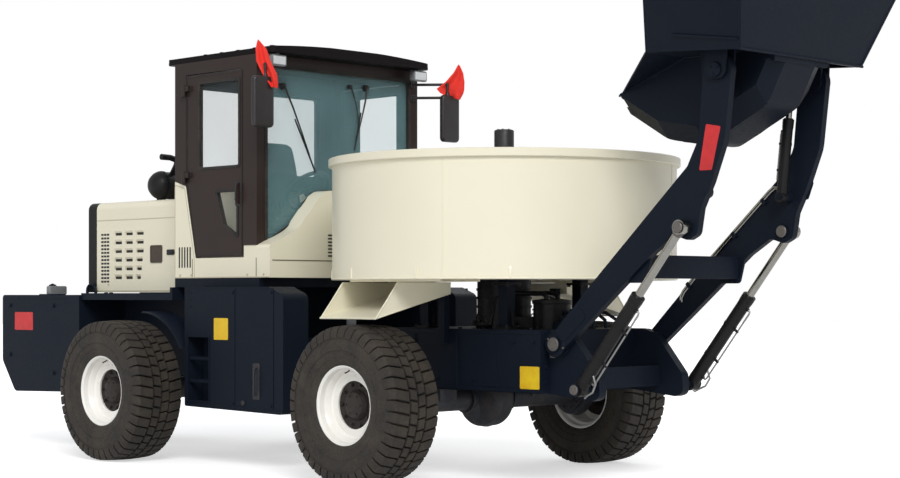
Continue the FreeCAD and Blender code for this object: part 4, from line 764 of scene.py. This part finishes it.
def seat_pieces():
    plan = [(-2370, -236), (-1872, -236), (-1872, 236), (-2370, 236)]
    seat_pad("seat_cushion", [(x, y, z) for z in (1782, 1876) for x, y in plan], 4, 12, 12)
    seat_pad("seat_back", [(-2332, -226, 1860), (-2446, -226, 2470), (-2446, 226, 2470),
                           (-2332, 226, 1860), (-2234, -226, 1872), (-2352, -226, 2488),
                           (-2352, 226, 2488), (-2234, 226, 1872)], 5, 10, 11)
    s = Solid()
    for y in (-150, 150):
        s.tube([(x, y, 1889 if -2340 < x < -1900 else 1868) for x in
                (-2360, -2330, -2240, -2140, -2040, -1940, -1905, -1880)], 2.4, 6)
        s.tube([(-2246 - 112 * t, y, 1890 + 580 * t) for t in (0, 0.25, 0.5, 0.75, 1)], 2.4, 6)
    add("seat_piping", s, "seal", "rear_frame")
    s = Solid()
    for k in range(7):
        z, fold = 1452 + k * 44, (k % 2) * 8
        s.plate(-2330 + fold, -1990 - fold, fold - 190, 190 - fold, 30, "z", z, z + 44, 5)
    s.box(-2350, -1880, -205, -170, 1762, 1790)
    s.box(-2350, -1880, 170, 205, 1762, 1790)
    s.plate(-2350, -1960, -220, 220, 20, "z", CAB_FLOOR, 1460)
    add("seat_suspension", s, "plastic", "rear_frame", bevel=2.0, replaces=("seat",))
    s = Solid()
    # levers, their console and the pedals
    for x, y in ((-1900, -330), (-1980, -330), (-2060, -330), (-1950, 330)):
        s.tube([(x, y, 1460), (x + 10, y, 1700), (x + 30, y, 1960)], [11, 9, 8], 12)
        s.lathe([(-26, 2), (-26, 14), (-8, 22), (14, 20), (24, 10), (27, 2)],
                (x + 31, y, 1975), "z", 20)
        s.lathe([(0, 2), (0, 42), (14, 36), (60, 16), (70, 2)], (x, y, 1455), "z", 24)
    s.plate(-2130, -1850, -380, -280, 24, "z", CAB_FLOOR, 1468)
    for y in (-90, 40, 130):
        s.prism([(-1700, 1452), (-1640, 1452), (-1660, 1560), (-1675, 1560)], "y", y, y + 60)
    # hub and spokes of the steering wheel
    axis, left = Vector((-230, 0, 220)).normalized(), Vector((0, 1, 0))
    head = Vector((-1935, 0, 2090))
    s.disc(head - axis * 22, axis, 44, 38, 36, 32)
    for t in (0, 2.09, 4.19):
        way = left.cross(axis) * math.cos(t) + left * math.sin(t)
        s.tube([head + way * 30, head + way * 178], [12, 8])
    add("cab_controls", s, "plastic", "rear_frame", bevel=0.8)


for Solid.side, hand in HANDS:
    door_pieces(hand)
window_pieces()
cab_panels()
mirror_and_lamps()
seat_pieces()


# ---------------------------------------------------------------- pan, chutes and rotor
PAN_X = 177.0           # axis of the pan
PUMP_X = 630            # axis of the pump on the pan's drive


def pan_detail():
    s = Solid()
    # hoops at the lip and at the foot, then upright seams and brackets
    for z, radius, thick in ((2214, 1232, 9), (2172, 1232, 7), (2169, 1216, 5),
                             (1381, 1213, 7)):
        turns = (math.pi / 4 * k for k in range(8))
        section = [(thick * math.cos(t), radius + thick * math.sin(t)) for t in turns]
        s.lathe(section, (PAN_X, 0, z), "z", 160)
    for x, y, _ in ring(4, 1213.5, (PAN_X, 0, 0), "z", math.radians(-66)):
        s.tube([(x, y, 1390), (x, y, 1780), (x, y, 2165)], 4, 8)
    for k in range(12):
        t = math.radians(15 + k * 30)
        c, d = math.cos(t), math.sin(t)
        s.skin([[(PAN_X + r * c - w * d, r * d + w * c, z) for r, z in
                 ((1212, 1381), (1222, 1381), (1222, 1440), (1212, 1462))]
                for w in (-7, 7)])
    add("pan_rims_and_welds", s, "pan", "front_frame", smooth=50)


def drive_detail():
    s = Solid()
    for x in (PAN_X - 380, PAN_X + 380):
        for y in (-380, 380):
            # foot plates with their bolts and two gussets
            for z in (1340, 1040):
                s.plate(x - 75, x + 75, y - 75, y + 75, 16, "z", z, z + 16)
            for dx in (-56, 56):
                for dy in (-56, 56):
                    for z in (1328, 1056):
                        s.disc((x + dx, y + dy, z), UP, 13, 13, 12, 6)
            s.prism([(x + 38, 1056), (x + 74, 1056), (x + 48, 1180)], "y", y - 5, y + 5)
            s.prism([(x - 56, 1056), (x - 74, 1056), (x - 48, 1180)], "y", y - 5, y + 5)
    s.lathe([(0, 180), (0, 232), (22, 232), (22, 190)], (PAN_X, 0, 1058), "z", 48)
    for spot in ring(14, 211, (PAN_X, 0, 1080), "z"):
        s.disc(spot, UP, 12, 12, 12, 6)
    for z in (1130, 1190, 1250, 1310):
        s.lathe([(-9, 188), (-9, 197), (9, 197), (9, 188)], (PAN_X, 0, z), "z", 48)
    s.lathe([(-10, 120), (0, 138), (22, 138), (30, 100), (34, 60), (34, 2), (-10, 2)],
            (PUMP_X, 0, 1212), "z", 40)
    for z in (1080, 1110, 1140, 1170):
        s.lathe([(-6, 128), (-6, 137), (6, 137), (6, 128)], (PUMP_X, 0, z), "z", 40)
    for y in (-60, 60):
        s.tube([(PUMP_X, y, 1236), (PUMP_X, y, 1262), (600, y, 1280),
                (430, y * 2.4, 1284), (380, y * 5, 1250), (380, y * 6, 1060)], 17, 14)
    add("mixer_drive_fittings", s, "black", "front_frame", bevel=1.0)


def rotor_detail():
    s = Solid()
    s.lathe([(0, 60), (0, 70), (384, 70), (392, 66), (396, 54), (396, 2), (388, 2),
             (380, 60)], (PAN_X, 0, 2044), "z", 48)
    for spot in ring(6, 44, (PAN_X, 0, 2438), "z"):
        s.disc(spot, UP, 8, 7, 6, 6)
    add("rotor_cap", s, "plastic", "rotor", bevel=1.5)
    s = Solid()
    for k in range(4):
        turn = math.radians(45 + 90 * k)
        radius = 1138 * (1 - 0.2 * (k % 2))

        def on_blade(r, z):
            return polar("z", z, r, turn, (PAN_X, 0, 0))

        for r in (radius - 150, radius - 90, radius - 30):
            s.disc(on_blade(r, 1500), UP, 15, 15, 14, 6)
        s.lathe([(-46, 30), (-46, 46), (46, 46), (46, 30)], on_blade(radius - 90, 1720), "z",
                28)
        s.disc(on_blade(146, 1720), (math.cos(turn), math.sin(turn), 0), 58, 58, 22, 32)
    s.lathe([(0, 148), (0, 168), (20, 168), (20, 148)], (PAN_X, 0, 1830), "z", 48)
    add("rotor_clamps", s, "rotor", "rotor", bevel=1.2)


def chute_detail():
    s = Solid()
    for Solid.side in (-1, 1):
        for x in (-302, 240):
            s.tube([(x, 603, 1352), (x, 1100, 1352), (x, 1300, 1116)], 6)
            s.tube([(x, 610, 1282), (x, 1290, 1118)], 5, 8)
        s.tube([(-308, 1300, 1116), (238, 1300, 1116)], 7)
        for x in (-180, -35, 110):
            s.skin([[(x + dx, y, z) for y, z in ((640, 1266), (1250, 1122), (1250, 1108),
                                                 (640, 1238))] for dx in (-4, 4)])
    add("chute_edges", s, "cream", "front_frame")


# ---------------------------------------------------------------- tanks and chassis
TANK_SIDE = 998         # side face of the side tanks
FRAME_SIDE = 548        # side face of the front frame
WEIGHT_SIDE = 899       # side face of the counterweight


def tank_detail():
    s, iron, guard = Solid(), Solid(), Solid()
    for Solid.side in (-1, 1):
        for x in (-1620, -1180):
            s.box(x - 22, x + 22, 999, 1004, 440, 1322)
            for z in (470, 1290):
                s.disc((x, 1003, z), LEFT, 12, 11, 9, 6)
        s.box(-2200, -1062, TANK_SIDE, 1002.5, 436, 444)
        s.box(-2200, -1240, TANK_SIDE, 1002.5, 1316, 1323)
        # frame and treads of the step opening
        s.rim(rect(-2168, -1896, 466, 964, 10), "y", TANK_SIDE, 1006, 9)
        for z in (620, 790):
            for x in range(-2150, -1900, 38):
                s.box(x, x + 22, 962, 990, z + 8, z + 17)
        iron.plate(-1390, -1311, 510, 775, 14, "y", 999, 1006)
        iron.tube([(-1350, y, z) for y, z in ((1004, 742), (1024, 732), (1026, 700),
                                              (1026, 590), (1024, 556), (1004, 545))], 9, 12)
        iron.disc((-1500, 1000, 480), LEFT, 22, 20, 12, 6)
        for z in (1180, 1230, 1280):
            guard.box(-2196, -2120, 999, 1003, z, z + 10)
        guard.skin([[polar("y", y, r, math.radians(33 + k * 4), (REAR_X, 0, AXLE_Z))
                     for r, y in ((600, 785), (606, 785), (606, 985), (598, 1002),
                                  (592, 1000), (600, 982))] for k in range(15)])
    add("tank_straps_and_steps", s, "navy", "rear_frame", bevel=1.0)
    add("tank_handles", iron, "iron", "rear_frame", bevel=1.0)
    add("rear_mudguards", guard, "navy", "rear_frame")


def frame_detail():
    s = Solid()
    for Solid.side in (-1, 1):
        for x, z in ((-360, 700), (-360, 960), (60, 700), (420, 700), (780, 960), (960, 960)):
            s.disc((x, 549, z), LEFT, 17, 17, 4, 28)
            s.disc((x, 552, z), LEFT, 13, 12, 12, 6)
        s.box(-440, 1015, FRAME_SIDE, 556, 628, 650)
        s.box(-395, 1015, FRAME_SIDE, 556, 1012, 1034)
        s.prism([(520, 655), (640, 655), (600, 1010), (560, 1010)], "y", FRAME_SIDE, 554)
        for x in (-150, 260):
            s.tube([(x, 552, 640), (x, 560, 660), (x, 560, 1000)], 5, 8)
        for z in (700, 800, 900, 980):
            s.disc((1019, 500, z), AHEAD, 15, 14, 12, 6)
        for x in (200, 420, 640, 860):
            s.disc((x, 470, 1039), UP, 14, 13, 12, 6)
    # valve block with a row of hoses
    s.plate(760, 900, -150, 150, 16, "z", 1038, 1090)
    for y in range(-116, 117, 58):
        s.disc((830, y, 1088), UP, 18, 16, 26, 6)
        s.tube([(830, y, 1110), (836, y, 1140), (870, y * 1.3, 1165), (950, y * 1.7, 1150),
                (1005, y * 2.1, 1100), (1008, y * 2.2, 1044)], 12, 12)
    add("front_frame_fittings", s, "navy", "front_frame", bevel=1.0)
    s = Solid()
    for Solid.side in (-1, 1):
        for x, z, r, y in ((1126, 950, 46, 545), (1388, 665, 34, 643)):
            s.disc((x, y, z), LEFT, r, r - 4, 9, 36)
            for spot in ring(3, r * 0.6, (x, y + 8, z), "y", 0.5):
                s.disc(spot, LEFT, 6, 6, 6, 6)
        s.plate(1032, 1080, 858, 905, 6, "y", 469, 473)
    # collars of the articulation pin
    for z, way in ((938, 1), (502, -1)):
        s.lathe([(0, 36), (0, 62), (way * 12, 62), (way * 20, 50), (way * 20, 36)],
                (-1382, 0, z), "z", 36)
    add("pin_caps", s, "grey_pin", "front_frame", bevel=0.8)


def axle_castings(place, x):
    s = Solid()
    middle = (x, 0, AXLE_Z)
    s.lathe([(0, 206), (14, 206), (34, 196), (70, 160), (92, 110), (100, 60), (102, 2),
             (-6, 2)], middle, "x", 56)
    for spot in ring(12, 190, (x + 8, 0, AXLE_Z), "x"):
        s.disc(spot, AHEAD, 11, 11, 18, 6)
    for Solid.side in (-1, 1):
        s.lathe([(0, 78), (0, 128), (26, 128), (26, 78)], (x, 880, AXLE_Z), "y", 40)
        for spot in ring(10, 108, (x, 878, AXLE_Z), "y"):
            s.disc(spot, RIGHT, 11, 10, 12, 6)
        s.lathe([(0, 78), (0, 100), (22, 100), (22, 78)], (x, 200, AXLE_Z), "y", 40)
        s.lathe([(0, 76), (10, 158), (70, 166), (92, 160), (98, 120), (98, 76)],
                (x, 902, AXLE_Z), "y", 48)
    s.disc((x + 100, 0, 470), AHEAD, 20, 18, 12, 6)
    add("axle_%s_castings" % place, s, "iron", place + "_frame", bevel=1.2)


def counterweight_detail():
    s, slots = Solid(), Solid()
    for Solid.side in (-1, 1):
        for x in (-4560, -3980):
            # lifting eye
            arch = [(x - 60, 1268), (x - 60, 1310)]
            arch += [(x - 60 * math.cos(t), 1310 + 46 * math.sin(t))
                     for t in (0.4, 0.9, 1.57, 2.24, 2.74)]
            arch += [(x + 60, 1310), (x + 60, 1268)]
            s.tube([lay("y", 620, *p) for p in arch], 13, 12)
        s.box(-4895, -3960, WEIGHT_SIDE, 903, 1236, 1246)
        for x, z in ((-4780, 760), (-4780, 1180), (-4120, 1180), (-4120, 620)):
            s.disc((x, WEIGHT_SIDE, z), LEFT, 21, 20, 5, 28)
            s.disc((x, 903, z), LEFT, 15, 14, 10, 6)
        s.plate(-4402, -4177, 735, 865, 18, "z", 1269, 1278)
        s.box(-4904, -4899, 300, 640, 940, 1130)
        for y in range(330, 600, 44):
            slots.plate(y, y + 22, 960, 1110, 8, "x", -4907, -4903)
    s.box(-4905, -4899, -820, 820, 700, 708)
    for y in (-120, 120):
        s.disc((-4899, y, 800), BACK, 26, 24, 12, 6)
    add("counterweight_fittings", s, "navy", "rear_frame", bevel=1.2)
    # slot plates in the dark look: painted shade of the slot openings
    add("counterweight_slots", slots, "dark", "rear_frame")


def label(name, look, body, face, outline):
    """Plain coloured labels on both sides, a hair proud of what they lie on."""
    s = Solid()
    for Solid.side in (-1, 1):
        s.prism(outline, "y", face - 1, face + 1.6)
    add(name, s, look, body)


pan_detail()
drive_detail()
rotor_detail()
chute_detail()
tank_detail()
frame_detail()
axle_castings("front", 0.0)
axle_castings("rear", REAR_X)
counterweight_detail()
label("tank_label", "yellow", "rear_frame", 1000, rect(-1847, -1680, 938, 1099, 9))
label("frame_label", "yellow", "front_frame", 550, rect(837, 1010, 650, 800, 9))
label("weight_label", "red", "rear_frame", 900, rect(-4707, -4430, 973, 1124, 9))
label("arm_label", "red", "boom", 530,
      rounded([(2300, 2030), (2396, 2030), (2462, 2290), (2352, 2310)], 9))


# ---------------------------------------------------------------- arms, cylinders and bucket
PIVOT = (1126.0, 950.0)         # of the boom, as x and z
TURN = math.radians(41.6)       # slope of the arm at rest
LIFT_EYE = (2206, 1685)
STEER_Z = 720.0                 # height of the steering cylinders
BUCKET_PIN = (2436, 2632)


def on_arm(along, aside):
    """Place, as x and z, measured from the pivot along and across the arm's centre line."""
    c, s = math.cos(TURN), math.sin(TURN)
    return (PIVOT[0] + along * c - aside * s, PIVOT[1] + along * s + aside * c)


def arm_detail():
    s, pipe, grey = Solid(), Solid(), Solid()
    for Solid.side in (-1, 1):
        # weld beads round the bosses and round the crossbar
        for y, radius in ((530, 84), (480, 82)):
            s.lathe([(-4, 76), (0, radius), (4, 76)], lay("y", y, *PIVOT), "y", 48)
        for x, z in ((1701, 1378), (1851, 1378), (1701, 1524), (1851, 1524)):
            s.disc((x, 470, z), LEFT, 9, 12, 14, 10)
        s.tube([(x, 476, z) for x, z in
                ((1704, 1381), (1848, 1381), (1848, 1521), (1704, 1521))], 7, 8, loop=True)
        # doubler plates on the outer faces
        s.prism(rounded([on_arm(60, 40), on_arm(320, 52), on_arm(320, -48),
                         on_arm(60, -40)], 24), "y", 529, 534)
        s.prism(rounded([(2300, 1880), (2372, 1890), (2418, 2010), (2350, 2006)], 16), "y",
                529, 533)
        # tubes clipped along the upper inner edge
        for y, aside in ((470, 62), (468, 78)):
            path = [(380, aside - 34), (400, aside - 12), (440, aside)]
            path += [(along, aside + 3 + along * 0.012) for along in (560, 830, 1100, 1400)]
            path += [(1440, aside + 14), (1462, aside - 6), (1466, aside - 34)]
            pipe.tube([lay("y", y, *on_arm(*p)) for p in path], 6.5)
        for along in (500, 740, 1000, 1320):
            s.prism(rounded([on_arm(along - 13, 52), on_arm(along + 13, 52),
                             on_arm(along + 13, 96), on_arm(along - 13, 96)], 5), "y", 461, 481)
        grey.disc(lay("y", 464, *LIFT_EYE), RIGHT, 40, 34, 8, 36)
        grey.plate(2228, 2262, 1878, 1932, 6, "y", 455, 463)
        for p in (on_arm(-20, 60), on_arm(40, -66)):
            grey.disc(lay("y", 529, *p), LEFT, 9, 6, 10, 6)
    for y in (-200, 0, 200):
        s.plate(1700, 1694, 1420, 1480, 1, "y", y - 30, y + 30, 2)
    add("arm_plates_and_welds", s, "navy", "boom", bevel=0.8)
    add("arm_tubes", pipe, "rod", "boom", smooth=60)
    add("arm_pin_plates", grey, "grey_pin", "boom", bevel=0.8)


def cylinder_detail(name, base, eye, y, sizes, flat=False):
    """Gland, welds, ports and hard tube on each barrel, and a collar on each rod. base and
    eye are x and z; where the pair lies flat they are x and the offset from y."""
    barrel_r, rod_r, eye_r, width, reach = sizes
    run = Vector(eye) - Vector(base)
    span = run.length
    run.normalize()
    turn, up = (-1, barrel_r + 30) if name == "lift" else (1, barrel_r + 13)
    for Solid.side, hand in HANDS:
        def put(t, aside=0, off=0):
            p = Vector(base) + run * t + Vector((-run.y, run.x)) * aside
            if flat:
                return (p.x, y + Solid.side * p.y, STEER_Z + off)
            return (p.x, y + off, p.y)

        def over(t, aside, off=0):
            return put(t, turn * aside, off)

        along = (Vector(put(1)) - Vector(put(0))).normalized()
        away = (Vector(over(0, 100)) - Vector(over(0, 0))).normalized()
        s, pipe, eye_trim = Solid(), Solid(), Solid()
        for t, length, r0, r1 in ((reach - 64, 26, barrel_r + 1, barrel_r + 3),
                                  (reach - 4, 10, barrel_r - 1, rod_r + 6),
                                  (eye_r * 0.6, 34, barrel_r - 6, barrel_r + 2),
                                  (reach * 0.32, 20, barrel_r + 2.2, barrel_r + 2.2),
                                  (reach * 0.66, 20, barrel_r + 2.2, barrel_r + 2.2)):
            s.disc(put(t), along, r0, r1, length, 36)
        for k in range(8):
            s.disc(put(reach + 1, (barrel_r - 9) * math.cos(k * math.pi / 4),
                       (barrel_r - 9) * math.sin(k * math.pi / 4)), along, 5, 5, 6, 6)
        pipe.tube([over(96, barrel_r - 4), over(96, up - 5), over(112, up),
                   over(reach - 100, up), over(reach - 82, up - 5),
                   over(reach - 82, barrel_r - 4)], 6)
        if name == "lift":
            pipe.tube([over(150, barrel_r - 4, 14), over(120, up + 14, 14),
                       over(60, up + 22, 6), over(10, up - 4), over(-20, 60, -10),
                       over(-8, 30, -30)], 7)
        for t in (96, reach - 82):
            s.disc(over(t, barrel_r - 6), away, 15, 13, 16, 6)
        for t in (reach * 0.32, reach * 0.66):
            s.disc(over(t + 10, barrel_r - 2), away, 11, 9, up + 8 - barrel_r, 10)
        eye_trim.disc(put(span - eye_r * 0.6 - 34), along, rod_r + 2, eye_r - 8, 30, 32)
        if not flat:
            for way in (1, -1):
                eye_trim.disc(put(span, 0, way * width / 2), (0, way, 0), eye_r - 12,
                              eye_r - 15, 3, 32)
            eye_trim.disc(put(span, 0, width / 2 + 8), LEFT, eye_r - 9, eye_r - 14, 7, 36)
        eye_trim.disc(put(span, eye_r - 4), away * turn, 6, 4, 11, 6)
        end = "_" + hand if flat else "s"
        add("%s_barrel_fittings_%s" % (name, hand), s, "black", name + "_barrel" + end,
            bevel=0.6)
        add("%s_barrel_tubes_%s" % (name, hand), pipe, "steel_tube", name + "_barrel" + end,
            smooth=60)
        add("%s_rod_eye_trim_%s" % (name, hand), eye_trim, "grey_pin", name + "_rod" + end,
            bevel=0.6)


def bucket_half(z):
    """Half width of the bucket between its flared sides, at a height."""
    return 666 + (z - 2765) * 339 / 795.0


def bucket_detail():
    s, caps = Solid(), Solid()
    for Solid.side in (-1, 1):
        # edge bars of the flared sides
        for line, r in (([(1999, 2772), (2080, 3066), (2102, 3346)], 9),
                        ([(2104, 3346), (2940, 3549)], 11), ([(2692, 2735), (2938, 3535)], 9)):
            s.tube([(x, bucket_half(z) - 6, z) for x, z in line], r)
        # stiffening rib on the side plate
        s.skin([[(x, bucket_half(z) + off, z) for x, z in
                 ((2230, 2836), (2694, 2775), (2698, 2787), (2232, 2852))] for off in (-4, 9)])
        # wear bars under the shelf and beside the cheeks, spout edge bar
        s.tube([(2002, 300, 2763), (2660, 300, 2763)], 6, 8)
        s.tube([(2690, 300, 2730), (2690, 655, 2730)], 8, 8)
        s.tube([(2000, 650, 2766), (2672, 650, 2766)], 6, 8)
        for x0, x1, y in ((2361, 2521, 471), (2361, 2521, 554), (2255, 2445, 362),
                          (2255, 2445, 453)):
            s.tube([(x0, y, 2762), (x1, y, 2762)], 6, 8)
        s.tube([(1462, 277, 2560), (1475, 279, 2573), (1990, 279, 2763)], 7, 8)
        # belly seam
        s.tube([(x, 161, z) for x, z in
                ((1476, 2461), (1640, 2367), (1775, 2291), (1900, 2251), (2010, 2235),
                 (2120, 2239), (2260, 2305), (2440, 2403), (2540, 2451))], 5, 8)
        caps.disc(lay("y", 561, *BUCKET_PIN), LEFT, 47, 43, 9, 40)
        for spot in ring(3, 28, lay("y", 569, *BUCKET_PIN), "y", 0.4):
            caps.disc(spot, LEFT, 7, 7, 7, 6)
        caps.plate(2350, 2520, 2795, 2800, 1, "y", 560, 562, 2)
    s.tube([(1462, -150, 2460), (1462, 150, 2460)], 9)
    s.tube([(2694, -660, 2729), (2694, 660, 2729)], 9)
    # strip with bolts along the lip of the floor plate, and the bar at the rear edge
    floor = Vector((2690, 2725))
    rise = (Vector((2950, 3560)) - floor).normalized()
    flat = Vector((rise.y, -rise.x))
    wide = bucket_half(3400) - 30
    s.prism([floor + rise * t + flat * off for t, off in
             ((720, -2), (838, -2), (840, 5), (724, 8))], "y", -wide, wide)
    for k in range(9):
        spot = lay("y", (wide - 60) * (k / 4 - 1), *(floor + rise * 770 + flat * 6))
        s.disc(spot, (flat.x, 0, flat.y), 13, 11, 5, 20)
    rear = bucket_half(3344) - 4
    s.tube([(2104, -rear, 3344), (2104, rear, 3344)], 10)
    # lap strip and corner plates where the spout's belly meets the floor plate
    s.prism([(2650, 2690), (2680, 2690), (2688, 2726), (2686, 2744), (2672, 2740),
             (2658, 2712)], "y", -284, 284)
    for Solid.side in (-1, 1):
        s.prism([(2594, 290), (2686, 290), (2686, 150), (2656, 150)], "z", 2702, 2728)
    add("bucket_edges_and_welds", s, "navy", "bucket", bevel=0.8)
    add("bucket_pin_caps", caps, "navy", "bucket", bevel=0.8)


def flag(name, tie, rows, folds):
    """Small cloth flag hung from a mirror arm; rows are (height, left, right) measured from
    its tie, left and right along the diagonal (1, 1)."""
    bm = bmesh.new()
    across, down = 12, 20
    grid = []
    for j in range(down + 1):
        f = j / down * (len(rows) - 1)
        i = min(int(f), len(rows) - 2)
        f -= i
        f = f * f * (3 - 2 * f)
        z, left, right = (a + (b - a) * f for a, b in zip(rows[i], rows[i + 1]))
        line = []
        for k in range(across + 1):
            u = k / across
            along = left + (right - left) * u
            fold = 15 * math.sin(folds * u * math.pi + 2.0 * j / down)
            fold *= min(1.0, 3.0 * j / down)
            line.append(bm.verts.new(at(tie[0] + 0.71 * along + 0.70 * fold,
                                        tie[1] + 0.70 * along - 0.71 * fold,
                                        tie[2] + z + 6 * math.sin(5 * u))))
        grid.append(line)
    for a, b in zip(grid, grid[1:]):
        for k in range(across):
            bm.faces.new((a[k], b[k], b[k + 1], a[k + 1]))
    area = sum(face.calc_area() for face in bm.faces)
    piece = piece_from(name, bm, "flag")
    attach(piece, "rear_frame")


cylinder_detail("lift", (1388, 665), LIFT_EYE, 584, (44, 27, 46, 70, 770))
cylinder_detail("tilt", (2255, 1905), (2325, 2560), 400, (34, 20, 36, 56, 500))
cylinder_detail("steer", (-1932, 0), (-762, 0), 300, (38, 22, 42, 78, 700), flat=True)
arm_detail()
bucket_detail()
flag("flag_near", (-1322, -940, 2975), [(150, -58, -40), (90, -72, 10), (0, -66, 40),
                                        (-90, -24, 84), (-165, 26, 92), (-195, 44, 86)], 3.0)
flag("flag_far", (-1322, 952, 2975), [(130, 74, 92), (70, 40, 118), (0, -20, 128),
                                      (-60, -96, 126), (-92, -70, 118), (-140, 10, 92)], 2.6)
# ---------------------------------------------------------------- studio
def studio():
    mesh = bpy.data.meshes.new("floor")
    size = 60.0
    mesh.from_pydata([(-size, -size, 0), (size, -size, 0), (size, size, 0), (-size, size, 0)],
                     [], [(0, 1, 2, 3)])
    floor = into_scene("floor", mesh)
    s = Shader("pale_floor")
    grey = s.ramp(s.noise(0.6, 3.0), (0.3, 0.83), (0.8, 0.87))
    glow = s.maths("MULTIPLY", s.backdrop(), 0.55)
    s.set(Base_Color=grey, Roughness=0.9, Emission_Strength=glow, Emission_Color=WHITE)
    mesh.materials.append(s.material)

    world = bpy.data.worlds.new("studio")
    bpy.context.scene.world = world
    world.use_nodes = True
    tree = Tree(world.node_tree)
    world.node_tree.nodes.clear()
    lights = [tree.fill(tree.new("ShaderNodeBackground"), values)[0] for values in (
        {"Color": (0.95, 0.97, 1.0, 1), "Strength": 0.46}, {"Color": WHITE, "Strength": 1.0})]
    mixed = tree.fill(tree.new("ShaderNodeMixShader"),
                      {0: tree.backdrop(), 1: lights[0], 2: lights[1]})
    tree.fill(tree.new("ShaderNodeOutputWorld"), {"Surface": mixed[0]})

    for name, way, strength, spread in (("key", (1.0, -0.72, 0.9), 1.7, 24),
                                        ("fill", (0.45, -1.0, 0.2), 0.55, 60),
                                        ("back", (-0.3, 1.0, 0.8), 0.35, 40)):
        data = bpy.data.lights.new(name, "SUN")
        data.energy = strength
        data.angle = math.radians(spread)
        turn = (-Vector(way)).to_track_quat("-Z", "Y").to_euler()
        into_scene(name, data).rotation_euler = turn


def camera():
    data = bpy.data.cameras.new("camera")
    data.sensor_fit = "HORIZONTAL"
    data.sensor_width = 36.0
    data.lens = 75.9
    data.shift_y = 0.0608
    data.clip_end = 200
    eye = into_scene("camera", data)
    eye.location = (10.387, -9.799, 1.28)
    eye.rotation_euler = Vector((-0.7042, 0.7100, 0.0)).to_track_quat("-Z", "Y").to_euler()
    bpy.context.scene.camera = eye
    bpy.context.scene.view_settings.view_transform = "Standard"


studio()
camera()
